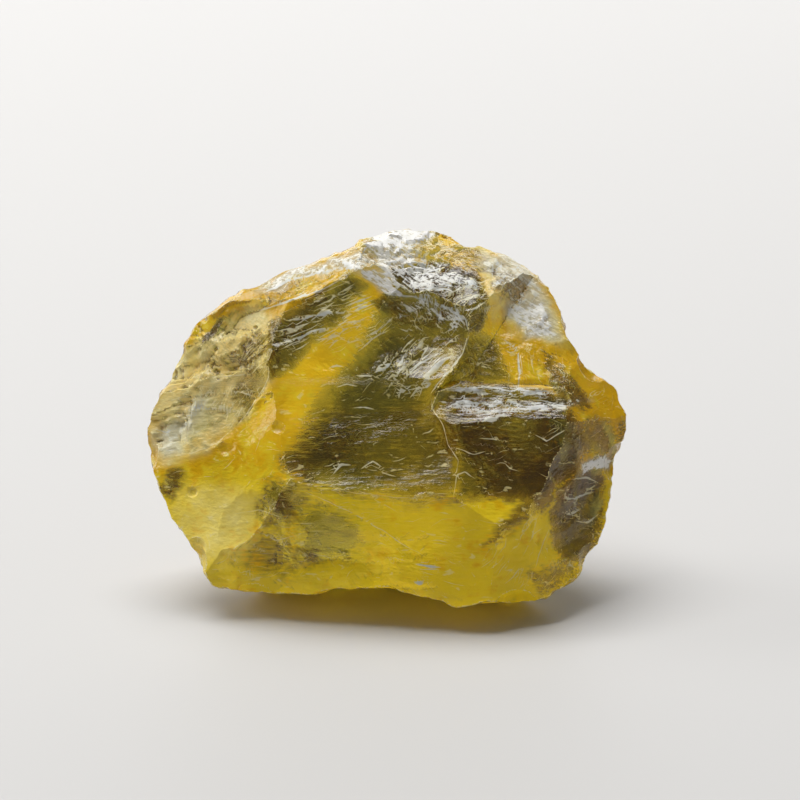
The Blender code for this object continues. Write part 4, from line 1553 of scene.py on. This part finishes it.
        # painted highlights: thin pale glints along the ripples, in place of light caught by them
        glints = (rings + 1.6 * (mottle - 0.5) + 1.2 * (streaks - 0.5)).between(1.05, 1.3) * front
        chalk = nodes.blend((frost + 0.3 * (mottle - 0.5)).between(0.42, 0.72), self.grey, self.white)
        chalk = nodes.blend((1.5 * frost + line * scarred).clamped(), self.cream_wear_and_glint, chalk)
        bruised = nodes.principled({"Base Color": chalk, "Roughness": self.chalk_roughness} | common)
        share = (powder * (0.6 + 0.4 * bruise) + 0.5 * glints + line * (0.45 + 0.5 * scarred)).clamped()

        values = {"Color": self.body, "Density": self.density}
        inside = nodes.node("ShaderNodeVolumeAbsorption", None, values).outputs[0]
        values = {"Surface": nodes.mixed(share, stone, bruised), "Volume": inside}
        nodes.node("ShaderNodeOutputMaterial", None, values)
        return nodes.material


@dataclass
class Studio:
    """The pale floor, the soft lights and the camera, in metres."""

    floor_radius: float = 0.7
    floor_colour: tuple = (0.57, 0.56, 0.545, 1.0)
    floor_roughness: float = 0.6
    aim: tuple = (1.2, 20.3, 3.0)  # what the camera looks at, in the sketch frame
    view_width: float = 0.08  # what the camera sees from side to side at the stone
    lens: float = 200.0
    sensor: float = 36.0
    surround: tuple = (0.16, 0.16, 0.163, 1.0)
    lit: tuple = (0.0, 0.0, 0.015)  # what the lights look at
    # the name of each light, where it stands, its width and height, and its power in watts
    lights: tuple = (
        ("top", (-0.15, 0.24, 0.9), (0.9, 0.6), 11.0),
        ("side", (-0.7, 0.2, 0.25), (0.3, 0.4), 1.8),
        ("back", (0.0, 0.6, 0.13), (0.9, 0.22), 1.2),
    )

    def make_floor(self) -> bpy.types.Object:
        """The plain pale floor.

        Returns:
            The floor.
        """
        bm = bmesh.new()
        bmesh.ops.create_circle(bm, cap_ends=True, segments=96, radius=self.floor_radius)
        floor = make_object("floor", bm)
        nodes = Nodes("floor_finish")
        shader = nodes.principled({"Base Color": self.floor_colour, "Roughness": self.floor_roughness})
        nodes.node("ShaderNodeOutputMaterial", None, {"Surface": shader})
        floor.data.materials.append(nodes.material)
        return floor

    def make_light(self, name: str, at: tuple, size: tuple, power: float) -> None:
        """A soft box that looks at the stone.

        Args:
            name: The light's name.
            at: Where it stands.
            size: Its width and height.
            power: Its power in watts.
        """
        lamp = bpy.data.lights.new(name, "AREA")
        lamp.shape = "RECTANGLE"
        lamp.size, lamp.size_y = size
        lamp.energy = power
        thing = bpy.data.objects.new(name, lamp)
        thing.location = at
        thing.visible_camera = False
        thing.rotation_euler = (Vector(at) - Vector(self.lit)).to_track_quat("Z", "Y").to_euler()
        bpy.context.scene.collection.objects.link(thing)

    def make_camera(self) -> None:
        """The camera, at the photograph's viewing angle."""
        data = bpy.data.cameras.new("camera")
        data.lens = self.lens
        data.sensor_width = self.sensor
        data.clip_start = 0.01
        camera = bpy.data.objects.new("camera", data)
        distance = self.view_width / 2.0 / (self.sensor / 2.0 / self.lens)
        back = Vector((0.0, -math.cos(LEAN), math.sin(LEAN)))
        camera.location = STAND_UP @ Vector(self.aim) + back * distance
        camera.rotation_euler = back.to_track_quat("Z", "Y").to_euler()
        bpy.context.scene.collection.objects.link(camera)
        bpy.context.scene.camera = camera

    def build(self) -> None:
        """Makes the floor, the lights, the world and the camera."""
        self.make_floor()
        for light in self.lights:
            self.make_light(*light)
        world = bpy.data.worlds.new("studio")
        world.use_nodes = True
        world.node_tree.nodes["Background"].inputs["Color"].default_value = self.surround
        bpy.context.scene.world = world
        bpy.context.scene.view_settings.view_transform = "Standard"
        self.make_camera()


def main() -> None:
    """Builds the stone and the studio, and notes the sizes."""
    logging.basicConfig(level=logging.INFO, format="%(message)s")
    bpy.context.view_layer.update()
    piece = Stone().build()
    piece.data.materials.clear()
    piece.data.materials.append(CitrineFinish().material())
    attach(piece, "root")
    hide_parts("citrine")
    log.info("%s: %d faces", piece.name, len(piece.data.polygons))
    Studio().build()


if __name__ == "__main__":
    main()
